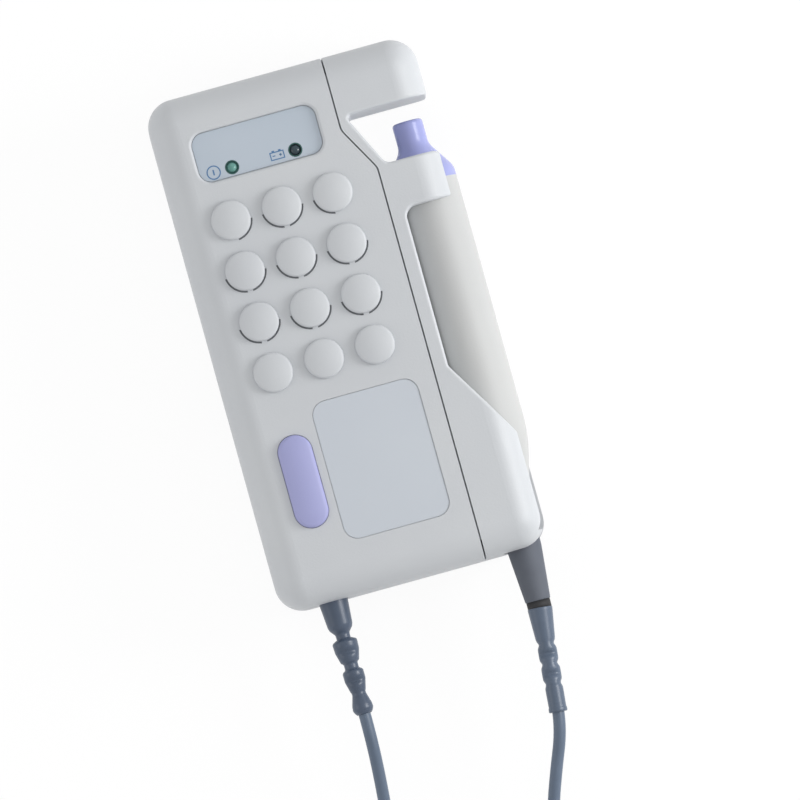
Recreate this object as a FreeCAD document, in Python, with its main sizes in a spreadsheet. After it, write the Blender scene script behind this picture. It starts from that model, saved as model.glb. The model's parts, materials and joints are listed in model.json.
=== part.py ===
import FreeCAD, Part
import math
import os
import re
import Sketcher

# A pocket ultrasound doppler lying on its back: a moulded case with a domed speaker grille, and a
# pencil probe clipped into a bay along the right-hand side, joined by one lead.
# Frame: millimetres, +X towards the probe, +Y towards the nose of the probe, +Z out of the front.
# The origin is the middle of the flat back of the case.

V = FreeCAD.Vector
Z_AXIS = V(0, 0, 1)

# Driving dimensions
DIMENSIONS = {
    # case
    "case_width": 74.0,
    "case_length": 140.0,
    "case_depth": 27.0,
    "corner_round": 7.5,
    "front_round": 8.0,
    "back_round": 3.5,
    "wall": 2.2,
    "floor_thick": 2.6,
    "shoulder": 2.6,
    "shoulder_drop": 4.8,
    "fit": 0.15,
    "reveal_depth": 0.35,
    "reveal_height": 0.4,
    # seam between the front cover and the bay side of the rear case
    "seam_gap": 0.4,
    "seam_ledge": 1.6,
    "seam_upper_inset": 24.6,
    "seam_lower_inset": 17.95,
    "seam_upper_length": 20.5,
    "seam_slant_length": 12.0,
    "seam_round": 4.0,
    # probe bay: cap over the nose, notch, collar, window and lower pocket
    "cap_length": 16.9,
    "notch_length": 15.1,
    "notch_upper_inset": 22.7,
    "notch_lower_inset": 15.4,
    "notch_round": 2.4,
    "collar_length": 12.7,
    "collar_round": 3.0,
    "window_inset": 13.9,
    "window_round": 3.0,
    "pocket_length": 51.6,
    "pocket_slant_length": 23.1,
    "pocket_round": 2.0,
    "tail_wall": 3.5,
    "tail_slot_diameter": 12.0,
    "edge_ease": 0.8,
    # probe
    "probe_inset": 7.0,
    "probe_clearance": 0.35,
    "probe_wall": 1.8,
    "nose_reach": 5.1,
    "nose_diameter": 8.2,
    "nose_length": 7.1,
    "nose_flare": 9.0,
    "nose_tip_round": 0.9,
    "nose_spigot": 6.0,
    "nose_wall": 1.2,
    "nose_band": 1.0,
    "shell_taper": 12.0,
    "shell_tail_length": 9.0,
    "shell_tail_diameter": 11.6,
    "shell_end_gap": 4.5,
    "shell_shoulder_round": 40.0,
    "shell_tail_round": 20.0,
    "crystal_thick": 0.5,
    "crystal_gap": 0.5,
    "lens_thick": 0.8,
    "backing_length": 5.0,
    "probe_board_thick": 1.2,
    "boot_lean": 1.0,
    "relief_lean": 5.4,
    "relief_joint": 0.25,
    "boot_root_length": 6.0,
    "boot_diameter": 9.3,
    "boot_end_diameter": 6.8,
    "boot_length": 22.4,
    "boot_ring_length": 1.5,
    "boot_ring_step": 0.35,
    "peg_diameter": 4.8,
    "peg_length": 1.6,
    "peg_clearance": 0.25,
    "boot_root_round": 1.0,
    "boot_end_round": 0.5,
    "relief_length": 28.2,
    "relief_diameter": 6.7,
    "relief_end_diameter": 4.7,
    "relief_taper": 8.6,
    "relief_step": 0.75,
    "relief_bead_diameter": 5.4,
    "relief_bead_length": 4.4,
    "relief_bead_slope": 0.9,
    "relief_bead_gap": 0.8,
    "relief_round": 0.4,
    # speaker grille
    "dome_columns": 3,
    "dome_rows": 4,
    "grille_offset": 0.8,
    "dome_rise": 1.3,
    "dome_edge": 0.9,
    "slot_width": 0.5,
    "slot_rib": 1.5,
    # loudspeaker
    "speaker_clearance": 1.0,
    "speaker_flange": 4.0,
    "speaker_flange_thick": 1.2,
    "speaker_steel": 0.8,
    "cone_thick": 0.6,
    "cone_neck": 2.0,
    "dust_cap_rise": 3.0,
    "surround_width": 2.0,
    "gasket_thick": 0.8,
    "speaker_rib": 1.5,
    "speaker_rib_depth": 2.4,
    # indicator panel and lamps
    "panel_left": 9.9,
    "panel_right": 5.4,
    "panel_height": 13.5,
    "panel_round": 3.5,
    "panel_recess": 1.5,
    "panel_thick": 0.5,
    "panel_ease": 0.9,
    "lamp_margin": 2.5,
    "lamp_diameter": 3.0,
    "lamp_length": 5.6,
    "lamp_flange": 0.4,
    "lamp_rise": 0.3,
    "lamp_lead": 0.6,
    "lamp_lead_pitch": 1.6,
    # label plate
    "label_button_gap": 2.3,
    "label_right": 5.15,
    "label_bottom": 13.7,
    "label_gap": 5.45,
    "label_round": 4.0,
    "label_recess": 0.5,
    "label_thick": 0.35,
    # power button and its switch
    "button_bottom": 19.7,
    "button_width": 9.2,
    "button_height": 25.2,
    "button_rise": 1.3,
    "button_crown": 1.5,
    "button_flange": 1.0,
    "button_flange_thick": 1.2,
    "button_travel": 0.9,
    "button_clearance": 0.15,
    "pill_flat": 0.02,
    "stem_diameter": 4.6,
    "switch_size": 6.0,
    "switch_height": 3.6,
    "plunger_diameter": 3.4,
    "plunger_rise": 1.5,
    "plunger_depth": 1.2,
    # circuit board
    "board_thick": 1.6,
    "board_left": 3.6,
    "board_top": 13.0,
    "board_right": 0.9,
    "board_bottom": 12.0,
    "board_gap": 1.75,
    "board_boss_gap": 4.0,
    "post_diameter": 5.0,
    "board_screw_diameter": 2.0,
    "board_screw_head": 4.0,
    "board_screw_head_thick": 1.3,
    "board_screw_length": 3.6,
    "board_screw_slack": 0.4,
    "board_post_inset": 4.5,
    "chip_thick": 2.0,
    "capacitor_inset": 3.6,
    "capacitor_diameter": 5.0,
    "capacitor_height": 5.5,
    # screws: the shares of a head that its cross recess takes, then the case screws
    "cross_length": 0.62,
    "cross_width": 0.2,
    "boss_diameter": 6.4,
    "boss_joint_height": 6.0,
    "screw_diameter": 2.8,
    "screw_head": 5.2,
    "screw_head_thick": 2.0,
    "screw_sink": 1.0,
    "screw_length": 11.0,
    "boss_inset": 6.0,
    "boss_top_inset": 7.6,
    "boss_low_gap": 5.0,
    # battery and its door
    "battery_headroom": 3.1,
    "battery_length": 48.5,
    "battery_round": 2.0,
    "battery_gap": 0.4,
    "terminal_length": 3.6,
    "terminal_diameter": 7.0,
    "terminal_pitch": 12.7,
    "contact_thick": 0.6,
    "contact_width": 9.0,
    "contact_height": 10.0,
    "box_wall": 1.4,
    "box_end": 2.6,
    "door_thick": 2.0,
    "door_lap": 1.4,
    "door_gap": 0.25,
    "tongue_width": 1.2,
    "tongue_base": 0.9,
    "grip_pitch": 2.4,
    "grip_width": 1.1,
    "grip_depth": 0.5,
    "grip_length": 16.0,
    "grip_count": 5,
    # volume wheel
    "wheel_diameter": 16.0,
    "wheel_thick": 3.2,
    "wheel_drop": 11.5,
    "wheel_sink": 0.2,
    "wheel_clearance": 0.3,
    "wheel_notches": 36,
    "wheel_notch": 0.7,
    "wheel_shaft": 2.8,
    "wheel_boss": 5.0,
    "wheel_boss_gap": 0.7,
    "wheel_screw_thick": 1.0,
    "pot_size": 9.5,
    "scoop_diameter": 44.0,
    "scoop_depth": 1.6,
    "scoop_height": 8.0,
    # lead
    "lead_diameter": 3.3,
    "lead_offset": 0.7,
    "lead_gap": 0.1,
    "lead_boot_diameter": 7.6,
    "lead_boot_body": 9.1,
    "lead_boot_length": 31.0,
    "lead_boot_taper": 0.5,
    "lead_boot_shoulder": 2.4,
    "lead_boot_round": 1.4,
    "lead_bead_diameter": 6.9,
    "lead_bead_gap": 1.7,
    "lead_bead_length": 6.0,
    "lead_bead_slope": 1.6,
    "lead_bead_round": 1.0,
    "lead_waist_diameter": 3.7,
    "lead_end_diameter": 5.8,
    "lead_flare_length": 3.0,
    "lead_flare_round": 0.8,
    "flex_cut": 1.3,
    "lead_neck_diameter": 6.8,
    "lead_flange_diameter": 9.6,
    "lead_flange_thick": 2.0,
    "coil_outer_radius": 26.0,
    "coil_pitch": 3.9,
    "coil_half_turns": 7,
    "tie_width": 8.0,
    "tie_thick": 0.6,
    "tie_gap": 0.3,
    "tie_round": 1.2,
}

# Places worked out from the driving dimensions
PLACES = {
    "left": "-case_width / 2",
    "right": "case_width / 2",
    "top": "case_length / 2",
    "bottom": "-case_length / 2",
    "front_inner": "case_depth - wall",
    "split_height": "case_depth / 2",
    "seam_upper_x": "right - seam_upper_inset",
    "seam_lower_x": "right - seam_lower_inset",
    "seam_upper_y": "top - seam_upper_length",
    "seam_lower_y": "seam_upper_y - seam_slant_length",
    "bay_side_x": "seam_lower_x - seam_ledge",
    "front_width": "seam_lower_x - left",
    "upper_width": "seam_upper_x - left",
    "cap_y": "top - cap_length",
    "collar_top_y": "cap_y - notch_length",
    "window_top_y": "collar_top_y - collar_length",
    "pocket_y": "bottom + pocket_length",
    "probe_x": "right - probe_inset",
    "probe_height": "split_height",
    "probe_diameter": "case_depth * 2 / 3",
    "probe_radius": "probe_diameter / 2",
    "channel_radius": "probe_radius + probe_clearance",
    "nose_tip_y": "cap_y - nose_reach",
    "nose_neck_y": "nose_tip_y - nose_length",
    "nose_base_y": "nose_neck_y - nose_flare - nose_band",
    "nose_slope": "nose_flare * 5 / 6",
    "shell_bore": "probe_radius - probe_wall",
    "shell_end_y": "bottom + tail_wall + shell_end_gap",
    "shell_taper_y": "shell_end_y + shell_tail_length + shell_taper",
    "probe_board_length": "(nose_base_y - nose_spigot - shell_taper_y) * 3 / 5",
    "boot_root_y": "shell_end_y + boot_root_length",
    "boot_end_y": "boot_root_y - boot_length - boot_root_length",
    "relief_y": "boot_end_y - boot_ring_length",
    "relief_end_y": "relief_y - relief_length",
    "tail_pivot_y": "shell_end_y + boot_root_length / 2",
    "boot_tip_x": "probe_x + (relief_y - tail_pivot_y) * sin(boot_lean)",
    "boot_tip_y": "tail_pivot_y + (relief_y - tail_pivot_y) * cos(boot_lean) - relief_joint",
    "dome_pitch": "front_width / 4",
    "dome_row_pitch": "case_length / 10",
    "dome_diameter": "min(dome_pitch; dome_row_pitch) * 3 / 4",
    "grille_x": "left + dome_pitch + grille_offset",
    "grille_y": "top - dome_row_pitch * 2.55",
    "grille_low_y": "grille_y - dome_row_pitch * (dome_rows - 1) - dome_diameter / 2",
    "speaker_diameter": "min(front_width * 4 / 5; case_length * 8 / 25)",
    "speaker_base_diameter": "speaker_diameter * 29 / 50",
    "voice_coil_diameter": "speaker_diameter * 5 / 16",
    "speaker_x": "grille_x + dome_pitch * (dome_columns - 1) / 2",
    "speaker_y": "grille_y - dome_row_pitch * (dome_rows - 1) / 2",
    "flange_top": "front_inner - gasket_thick",
    "flange_low": "flange_top - speaker_flange_thick",
    "speaker_height": "flange_low - board_top_z - speaker_clearance",
    "speaker_depth": "speaker_height * 3 / 5",
    "magnet_thick": "speaker_height - speaker_depth",
    "basket_low": "flange_low - speaker_depth",
    "panel_width": "upper_width - panel_left - panel_right",
    "panel_x": "left + panel_left + panel_width / 2",
    "panel_y": "top - case_length * 0.0793 - panel_height / 2",
    "panel_floor": "case_depth - panel_recess",
    "lamp_y": "panel_y - panel_height / 2 + lamp_margin",
    "power_lamp_x": "left + panel_left + panel_width * 0.264",
    "battery_lamp_x": "left + panel_left + panel_width * 0.774",
    "lamp_top": "panel_floor + panel_thick + lamp_rise",
    "lamp_low": "lamp_top - lamp_length",
    "label_left_x": "button_x + button_width / 2 + label_button_gap",
    "label_width": "seam_lower_x - label_right - label_left_x",
    "label_height": "grille_low_y - label_gap - bottom - label_bottom",
    "label_x": "label_left_x + label_width / 2",
    "label_y": "bottom + label_bottom + label_height / 2",
    "label_floor": "case_depth - label_recess",
    "button_x": "left + wall + (box_left_x - left - wall) * 0.569",
    "button_y": "bottom + button_bottom + button_height / 2",
    "board_height": "case_depth * 7 / 27",
    "board_top_z": "board_height + board_thick",
    "switch_top": "board_top_z + switch_height",
    "plunger_top": "switch_top + plunger_rise",
    "board_left_x": "left + board_left",
    "board_top_y": "top - board_top",
    "board_right_x": "seam_upper_x - seam_ledge - board_right",
    "board_leg_x": "box_left_x - board_gap",
    "board_step_y": "box_end_y + box_wall + boss_low_gap + boss_diameter / 2 + board_boss_gap",
    "board_low_y": "bottom + board_bottom",
    "chip_top_y": "lamp_y - lamp_diameter / 2 - lamp_flange",
    "chip_low_y": "speaker_y + speaker_base_diameter / 2",
    "chip_y": "(chip_top_y + chip_low_y) / 2",
    "chip_height": "(chip_top_y - chip_low_y) * 0.45",
    "battery_low": "door_thick + door_gap + fit",
    "battery_width": "front_width * 0.4728",
    "battery_thick": "case_depth - battery_low - battery_gap - box_wall - wall - battery_headroom",
    "battery_x": "bay_side_x - box_wall - battery_gap - battery_width / 2",
    "battery_low_y": "bottom + wall + battery_gap + box_end / 2",
    "battery_top_y": "battery_low_y + battery_length - terminal_length",
    "box_left_x": "battery_x - battery_width / 2 - battery_gap - box_wall",
    "box_end_y": "battery_low_y + battery_length + contact_thick + battery_gap",
    "box_top": "battery_low + battery_thick + battery_gap",
    "door_width": "battery_width + 2 * battery_gap + 2 * door_lap",
    "door_end_y": "box_end_y + box_wall / 2",
    "wheel_x": "left + wheel_sink + wheel_diameter / 2",
    "wheel_y": "board_step_y + board_post_inset - wheel_drop",
    "leg_x": "(board_left_x + board_leg_x) / 2",
    "leg_width": "board_leg_x - board_left_x",
    "leg_low_y": "button_y + switch_size / 2",
    "leg_length": "wheel_y - pot_size / 2 - leg_low_y",
    "wheel_low": "split_height - wheel_thick / 2",
    "wheel_high": "split_height + wheel_thick / 2",
    "pot_height": "wheel_low - wheel_boss_gap - board_top_z",
    "wheel_shaft_depth": "pot_height * 3 / 4",
    "lead_x": "button_x - lead_offset",
    "lead_boot_end_y": "bottom - lead_boot_length",
}

# Where the case screws and the board's posts stand
CASE_SCREWS = (
    ("left + boss_inset", "top - boss_top_inset"),
    ("seam_upper_x - seam_ledge - boss_diameter / 2 - fit", "top - boss_top_inset"),
    ("left + boss_inset", "bottom + boss_top_inset"),
    ("bay_side_x - boss_diameter / 2 - fit", "box_end_y + box_wall + boss_low_gap"),
)
BOARD_SCREWS = (
    ("board_left_x + board_post_inset", "board_top_y - board_post_inset"),
    ("board_right_x - board_post_inset", "board_top_y - board_post_inset"),
    ("board_left_x + board_post_inset", "board_step_y + board_post_inset"),
    ("board_leg_x - board_post_inset", "board_low_y + board_post_inset"),
)

# The main chips on the board, each with its place, width and height, and the places of the capacitors
CHIPS = (
    ("speaker_x - front_width / 5", "chip_y", "front_width / 5", "chip_height"),
    ("speaker_x + front_width / 5", "chip_y", "front_width / 7", "chip_height * 3 / 4"),
    ("leg_x", "leg_low_y + leg_length * 0.7", "leg_width * 0.42", "leg_length * 0.3"),
)
CAPACITORS = (
    ("board_left_x + capacitor_inset", "leg_low_y + leg_length * 0.3"),
    ("board_leg_x - capacitor_inset", "leg_low_y + leg_length * 0.3"),
)

# A line clear of the right-hand side, where the openings of the probe bay end
BAY_EDGE = "(right + probe_diameter / 2)"

# How much of the shorter run next to a bend of a cord its arc takes up
BEND_SHARE = 0.45

# Heights that differ by less than this are the same
SAME_HEIGHT = 1e-4

doc = FreeCAD.newDocument("pocket_doppler")
sheet = doc.addObject("Spreadsheet::Sheet", "dims")
for row, (alias, size) in enumerate(DIMENSIONS.items(), start=1):
    sheet.set(f"A{row}", alias)
    sheet.set(f"B{row}", str(size))
    sheet.setAlias(f"B{row}", alias)
doc.recompute()

parts = []


def bound(text):
    """The sheet's own formula for a text written in the names above."""

    def swap(match):
        name = match.group()
        if name in PLACES:
            return "(" + bound(PLACES[name]) + ")"
        return "dims." + name if name in DIMENSIONS else name

    return re.sub(r"[a-z][a-z_]*", swap, str(text))


def size_of(text):
    return float(sheet.evalExpression(bound(text)))


def bind(target, prop, text):
    target.setExpression(prop, bound(text))


def place(target, x="0", y="0", z="0"):
    for axis, text in zip("xyz", (x, y, z)):
        bind(target, f"Placement.Base.{axis}", text)


def new_body(label):
    body = doc.addObject("PartDesign::Body", label)
    body.Label = label
    parts.append(body)
    return body


def new_solid(label, shape):
    """A sub-part whose shape is set directly, for the tubes of the lead."""
    solid = doc.addObject("Part::Feature", label)
    solid.Label = label
    solid.Shape = shape
    parts.append(solid)
    return solid


def new_sketch(body, plane="XY", offset="0"):
    """A sketch on one of the body's own planes. The XZ plane faces -Y, so its offset counts towards -Y."""
    sketch = body.newObject("Sketcher::SketchObject", "outline")
    origin = {feature.Role: feature for feature in body.Origin.OriginFeatures}
    sketch.AttachmentSupport = [(origin[plane + "_Plane"], "")]
    sketch.MapMode = "FlatFace"
    bind(sketch, "AttachmentOffset.Base.z", offset)
    return sketch


def pinned(geometry, vertex, x, y):
    """Rules that tie one point of a sketch to the sheet in both directions."""
    return [
        (Sketcher.Constraint(kind, -1, 1, geometry, vertex, size_of(text)), text)
        for kind, text in (("DistanceX", x), ("DistanceY", y))
    ]


def radius_rule(geometry, text):
    return (Sketcher.Constraint("Radius", geometry, size_of(text)), text)


def plain_rule(*terms):
    return (Sketcher.Constraint(*terms), None)


def constrain(sketch, rules):
    """Adds all rules at once, then binds those that have a text to the sheet."""
    indexes = sketch.addConstraint([rule for rule, _ in rules])
    for index, (_, text) in zip(indexes, rules):
        if text is not None:
            sketch.setExpression(f"Constraints[{index}]", bound(text))


def draw_circle(sketch, x, y, radius):
    circle = sketch.addGeometry(Part.Circle(V(size_of(x), size_of(y), 0), Z_AXIS, size_of(radius)))
    constrain(sketch, [*pinned(circle, 3, x, y), radius_rule(circle, radius)])


def corner_arc(before, corner, after, radius):
    """The arc that rounds a corner, with the points where it leaves its two straight sides."""
    back = (before - corner).normalize()
    ahead = (after - corner).normalize()
    half = back.getAngle(ahead) / 2
    reach = radius / math.tan(half)
    inward = (back + ahead).normalize()
    nearest = corner + inward * (radius / math.sin(half) - radius)
    start, end = corner + back * reach, corner + ahead * reach
    return Part.Arc(start, nearest, end), start, end


def flat_arc(start, end, centre):
    """A sketch's arc, which always runs anticlockwise from its start to its end."""
    first, last = start - centre, end - centre
    circle = Part.Circle(centre, Z_AXIS, first.Length)
    return Part.ArcOfCircle(circle, math.atan2(first.y, first.x), math.atan2(last.y, last.x))


def draw_loop(sketch, corners):
    """A closed outline through corners (x, y) or (x, y, radius), each radius a tangent arc."""
    count = len(corners)
    points = [V(size_of(corner[0]), size_of(corner[1]), 0) for corner in corners]
    arrivals, departures, arcs, leftward = list(points), list(points), {}, {}
    for i, corner in enumerate(corners):
        if len(corner) == 3:
            before, after = points[i - 1], points[(i + 1) % count]
            arc, arrivals[i], departures[i] = corner_arc(before, points[i], after, size_of(corner[2]))
            leftward[i] = (points[i] - before).cross(after - points[i]).z > 0
            ends = (arrivals[i], departures[i]) if leftward[i] else (departures[i], arrivals[i])
            arcs[i] = sketch.addGeometry(flat_arc(*ends, arc.toShape().Curve.Center))
    lines = [
        sketch.addGeometry(Part.LineSegment(departures[i], arrivals[(i + 1) % count])) for i in range(count)
    ]
    rules = []
    for i, corner in enumerate(corners):
        incoming, outgoing = lines[i - 1], lines[i]
        if i not in arcs:
            rules.append(plain_rule("Coincident", incoming, 2, outgoing, 1))
            rules += pinned(outgoing, 1, corner[0], corner[1])
            continue
        arc = arcs[i]
        first, last = (1, 2) if leftward[i] else (2, 1)
        guide = sketch.addGeometry(Part.Point(points[i]), True)
        rules += pinned(guide, 1, corner[0], corner[1])
        rules.append(plain_rule("PointOnObject", guide, 1, incoming))
        rules.append(plain_rule("PointOnObject", guide, 1, outgoing))
        rules.append(plain_rule("Tangent", incoming, 2, arc, first))
        rules.append(plain_rule("Tangent", arc, last, outgoing, 1))
        rules.append(radius_rule(arc, corner[2]))
    constrain(sketch, rules)


def box_corners(x, y, width, height, radius=None):
    """The corners of a rectangle centred on x, y, rounded if a radius is given."""
    corners = []
    for sx, sy in (("-", "-"), ("+", "-"), ("+", "+"), ("-", "+")):
        corner = (f"({x}) {sx} ({width}) / 2", f"({y}) {sy} ({height}) / 2")
        corners.append(corner if radius is None else (*corner, radius))
    return corners


def pill_round(width):
    """The corner radius that makes a pill, less a hair so that its two arcs stay apart."""
    return f"({width} - pill_flat) / 2"


def feature(body, kind, sketch, length=None, up=None, through=False):
    """A pad or pocket. up says whether it runs along the sketch's normal, against it if False."""
    made = body.newObject("PartDesign::" + kind, kind.lower())
    made.Profile = sketch
    if through:
        made.Type = "ThroughAll"
    else:
        bind(made, "Length", length)
    if up is not None:
        made.Reversed = up if kind == "Pocket" else not up
    sketch.Visibility = False
    doc.recompute()
    return made


def pad(body, corners, base, length, up=True, plane="XY"):
    sketch = new_sketch(body, plane, base)
    draw_loop(sketch, corners)
    return feature(body, "Pad", sketch, length, up)


def pocket(body, corners, base, length=None, up=False, plane="XY", through=False):
    sketch = new_sketch(body, plane, base)
    draw_loop(sketch, corners)
    return feature(body, "Pocket", sketch, length, up, through)


def round_pad(body, circles, base, length, up=True, plane="XY"):
    """A pad of circles (x, y, radius): a second circle inside the first leaves a bore."""
    sketch = new_sketch(body, plane, base)
    for circle in circles:
        draw_circle(sketch, *circle)
    return feature(body, "Pad", sketch, length, up)


def round_pocket(body, circles, base, length, up=False, plane="XY"):
    sketch = new_sketch(body, plane, base)
    for circle in circles:
        draw_circle(sketch, *circle)
    return feature(body, "Pocket", sketch, length, up)


def turned(body, corners, plane="XZ"):
    """A revolution of corners (radius, height) about the body's own Z axis, or its Y axis on the XY plane."""
    sketch = new_sketch(body, plane)
    draw_loop(sketch, corners)
    made = body.newObject("PartDesign::Revolution", "turned")
    made.Profile = sketch
    made.ReferenceAxis = (sketch, ["V_Axis"])
    made.Angle = 360
    sketch.Visibility = False
    doc.recompute()
    return made


def eased(body, radius, chosen):
    """A fillet on the edges of the body's newest feature that chosen(edge) picks."""
    base = body.Tip
    names = [f"Edge{i}" for i, edge in enumerate(base.Shape.Edges, start=1) if chosen(edge)]
    made = body.newObject("PartDesign::Fillet", "eased")
    made.Base = (base, names)
    bind(made, "Radius", radius)
    doc.recompute()
    return made


def level(z):
    """Picks the edges that lie flat at height z."""
    height = size_of(z)

    def chosen(edge):
        box = edge.BoundBox
        return abs(box.ZMin - height) < SAME_HEIGHT and abs(box.ZMax - height) < SAME_HEIGHT

    return chosen


def grid(body, original, columns, rows, step_x, step_y):
    """Repeats a feature along +X and -Y."""
    origin = {item.Role: item for item in body.Origin.OriginFeatures}
    many = body.newObject("PartDesign::MultiTransform", "grid")
    many.Originals = [original]
    steps = []
    for axis, count, step, backwards in (("X", columns, step_x, False), ("Y", rows, step_y, True)):
        pattern = body.newObject("PartDesign::LinearPattern", "row")
        pattern.Direction = (origin[axis + "_Axis"], [""])
        pattern.Reversed = backwards
        bind(pattern, "Length", f"({step}) * (({count}) - 1)")
        bind(pattern, "Occurrences", count)
        steps.append(pattern)
    many.Transformations = steps
    body.Tip = many
    doc.recompute()
    return many


# Case shells


def case_form(body):
    """The outside of the whole case, before it is parted."""
    pad(body, box_corners("0", "0", "case_width", "case_length", "corner_round"), "0", "case_depth")
    eased(body, "front_round", level("case_depth"))
    eased(body, "back_round", level("0"))


def seam_line(shift):
    """The seam from the top end to the bottom end, moved sideways by shift."""
    return [
        (f"seam_upper_x + {shift}", "top + wall"),
        (f"seam_upper_x + {shift}", "seam_upper_y", "seam_round"),
        (f"seam_lower_x + {shift}", "seam_lower_y", "seam_round"),
        (f"seam_lower_x + {shift}", "bottom - wall"),
    ]


def left_of_seam(shift):
    return [*seam_line(shift), ("left - wall", "bottom - wall"), ("left - wall", "top + wall")]


def right_of_seam(shift):
    return [*seam_line(shift), ("right + wall", "bottom - wall"), ("right + wall", "top + wall")]


def hollow(inset, shift):
    """The inside outline of the left part of the case, set in from the outside on three sides."""
    upper, upper_bend, lower_bend, lower = seam_line(shift)
    return [
        (upper[0], f"top - {inset}"),
        upper_bend,
        lower_bend,
        (lower[0], f"bottom + {inset}"),
        (f"left + {inset}", f"bottom + {inset}", f"corner_round - {inset} / 2"),
        (f"left + {inset}", f"top - {inset}", f"corner_round - {inset} / 2"),
    ]


def cut_side_openings(body, up):
    """The volume wheel's slot and finger scoop, and the hole for the lead, half in each shell."""
    scoop = ("left - scoop_diameter / 2 + scoop_depth", "wheel_y", "scoop_diameter / 2")
    round_pocket(body, [scoop], "split_height", "scoop_height / 2", up)
    slot = box_corners(
        "wheel_x", "wheel_y", "wheel_diameter + 2 * wheel_clearance", "wheel_diameter + 2 * wheel_clearance"
    )
    pocket(body, slot, "split_height", "wheel_thick / 2 + wheel_clearance", up)
    hole = ("lead_x", "split_height", "lead_neck_diameter / 2 + fit")
    round_pocket(body, [hole], "-bottom + wall", "2 * wall + fit", False, "XZ")


def front_cover():
    body = new_body("front_cover")
    case_form(body)
    pocket(body, right_of_seam("-seam_gap / 2"), "case_depth", through=True)
    pocket(body, box_corners("0", "0", "2 * case_width", "2 * case_length"), "split_height", "case_depth")
    shadow_line(body)
    pocket(body, hollow("wall", "wall"), "split_height", "case_depth - shoulder_drop - split_height", True)
    pocket(body, hollow("(wall + shoulder)", "wall"), "split_height", "front_inner - split_height", True)
    ring = "speaker_diameter / 2 + fit"
    rib = [("speaker_x", "speaker_y", f"{ring} + speaker_rib"), ("speaker_x", "speaker_y", ring)]
    round_pad(body, rib, "front_inner", "speaker_rib_depth", False)
    bosses = [(x, y, "boss_diameter / 2") for x, y in CASE_SCREWS]
    round_pad(body, bosses, "front_inner", "front_inner - boss_joint_height", False)
    pilots = [(x, y, "screw_diameter / 2 + fit / 2") for x, y in CASE_SCREWS]
    round_pocket(body, pilots, "boss_joint_height", "screw_length", True)
    pocket(
        body,
        box_corners("panel_x", "panel_y", "panel_width", "panel_height", "panel_round"),
        "case_depth",
        "panel_recess",
    )
    eased(body, "panel_ease", panel_rim)
    lamps = [(x, "lamp_y", "lamp_diameter / 2 + fit") for x in LAMPS.values()]
    round_pocket(body, lamps, "case_depth", "2 * wall")
    pocket(
        body,
        box_corners("label_x", "label_y", "label_width", "label_height", "label_round"),
        "case_depth",
        "label_recess",
    )
    hole_width = "button_width + 2 * button_clearance"
    hole_height = "button_height + 2 * button_clearance"
    pocket(
        body,
        box_corners("button_x", "button_y", hole_width, hole_height, pill_round(hole_width)),
        "case_depth",
        "2 * wall",
    )
    cut_side_openings(body, True)
    domes(body)
    sound_slots(body)


def shadow_line(body):
    """A shallow groove round the lower edge of the cover, where it meets the rear case."""
    sketch = new_sketch(body, "XY", "split_height")
    draw_loop(sketch, box_corners("0", "0", "2 * case_width", "2 * case_length"))
    width = "case_width - 2 * reveal_depth"
    length = "case_length - 2 * reveal_depth"
    draw_loop(sketch, box_corners("0", "0", width, length, "corner_round - reveal_depth"))
    feature(body, "Pocket", sketch, "reveal_height", True)


def panel_rim(edge):
    """Picks the edges round the mouth of the recess for the indicator panel."""
    middle = edge.valueAt((edge.FirstParameter + edge.LastParameter) / 2)
    near_x = abs(middle.x - size_of("panel_x")) < size_of("panel_width / 2 + fit")
    near_y = abs(middle.y - size_of("panel_y")) < size_of("panel_height / 2 + fit")
    return level("case_depth")(edge) and near_x and near_y


def domes(body):
    """Twelve low round domes with rounded edges, raised from the front."""
    sketch = new_sketch(body, "XZ", "-(grille_y)")
    low = "case_depth - wall / 2"
    high = "case_depth + dome_rise"
    edge = "grille_x + dome_diameter / 2"
    draw_loop(sketch, [("grille_x", low), (edge, low), (edge, high, "dome_edge"), ("grille_x", high)])
    foot = V(size_of("grille_x"), size_of(low), 0)
    axis = sketch.addGeometry(Part.LineSegment(foot, foot + V(0, 1, 0)), True)
    constrain(sketch, [plain_rule("Vertical", axis), *pinned(axis, 1, "grille_x", low)])
    dome = body.newObject("PartDesign::Revolution", "dome")
    dome.Profile = sketch
    dome.ReferenceAxis = (sketch, ["Axis0"])
    dome.Angle = 360
    doc.recompute()
    grid(body, dome, "dome_columns", "dome_rows", "dome_pitch", "dome_row_pitch")


# The lamps of the indicator panel and where each stands
LAMPS = {"power_led": "power_lamp_x", "battery_led": "battery_lamp_x"}


def sound_slots(body):
    """Arc slots at the foot of the domes, on the sides away from the panel, with a narrow rib between two."""
    for side in (1, -1):
        sketch = new_sketch(body, "XY", "case_depth")
        for column in range(DIMENSIONS["dome_columns"]):
            for row in range(DIMENSIONS["dome_rows"]):
                if has_slot(column, row, side):
                    draw_slot(sketch, column, row, side)
        feature(body, "Pocket", sketch, "2 * wall", False)


def has_slot(column, row, side):
    """The last row has none, and the first row's end domes only those towards the middle of the row."""
    last_column = DIMENSIONS["dome_columns"] - 1
    outwards = (column == 0 and side < 0) or (column == last_column and side > 0)
    return row < DIMENSIONS["dome_rows"] - 1 and not (row == 0 and outwards)


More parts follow.
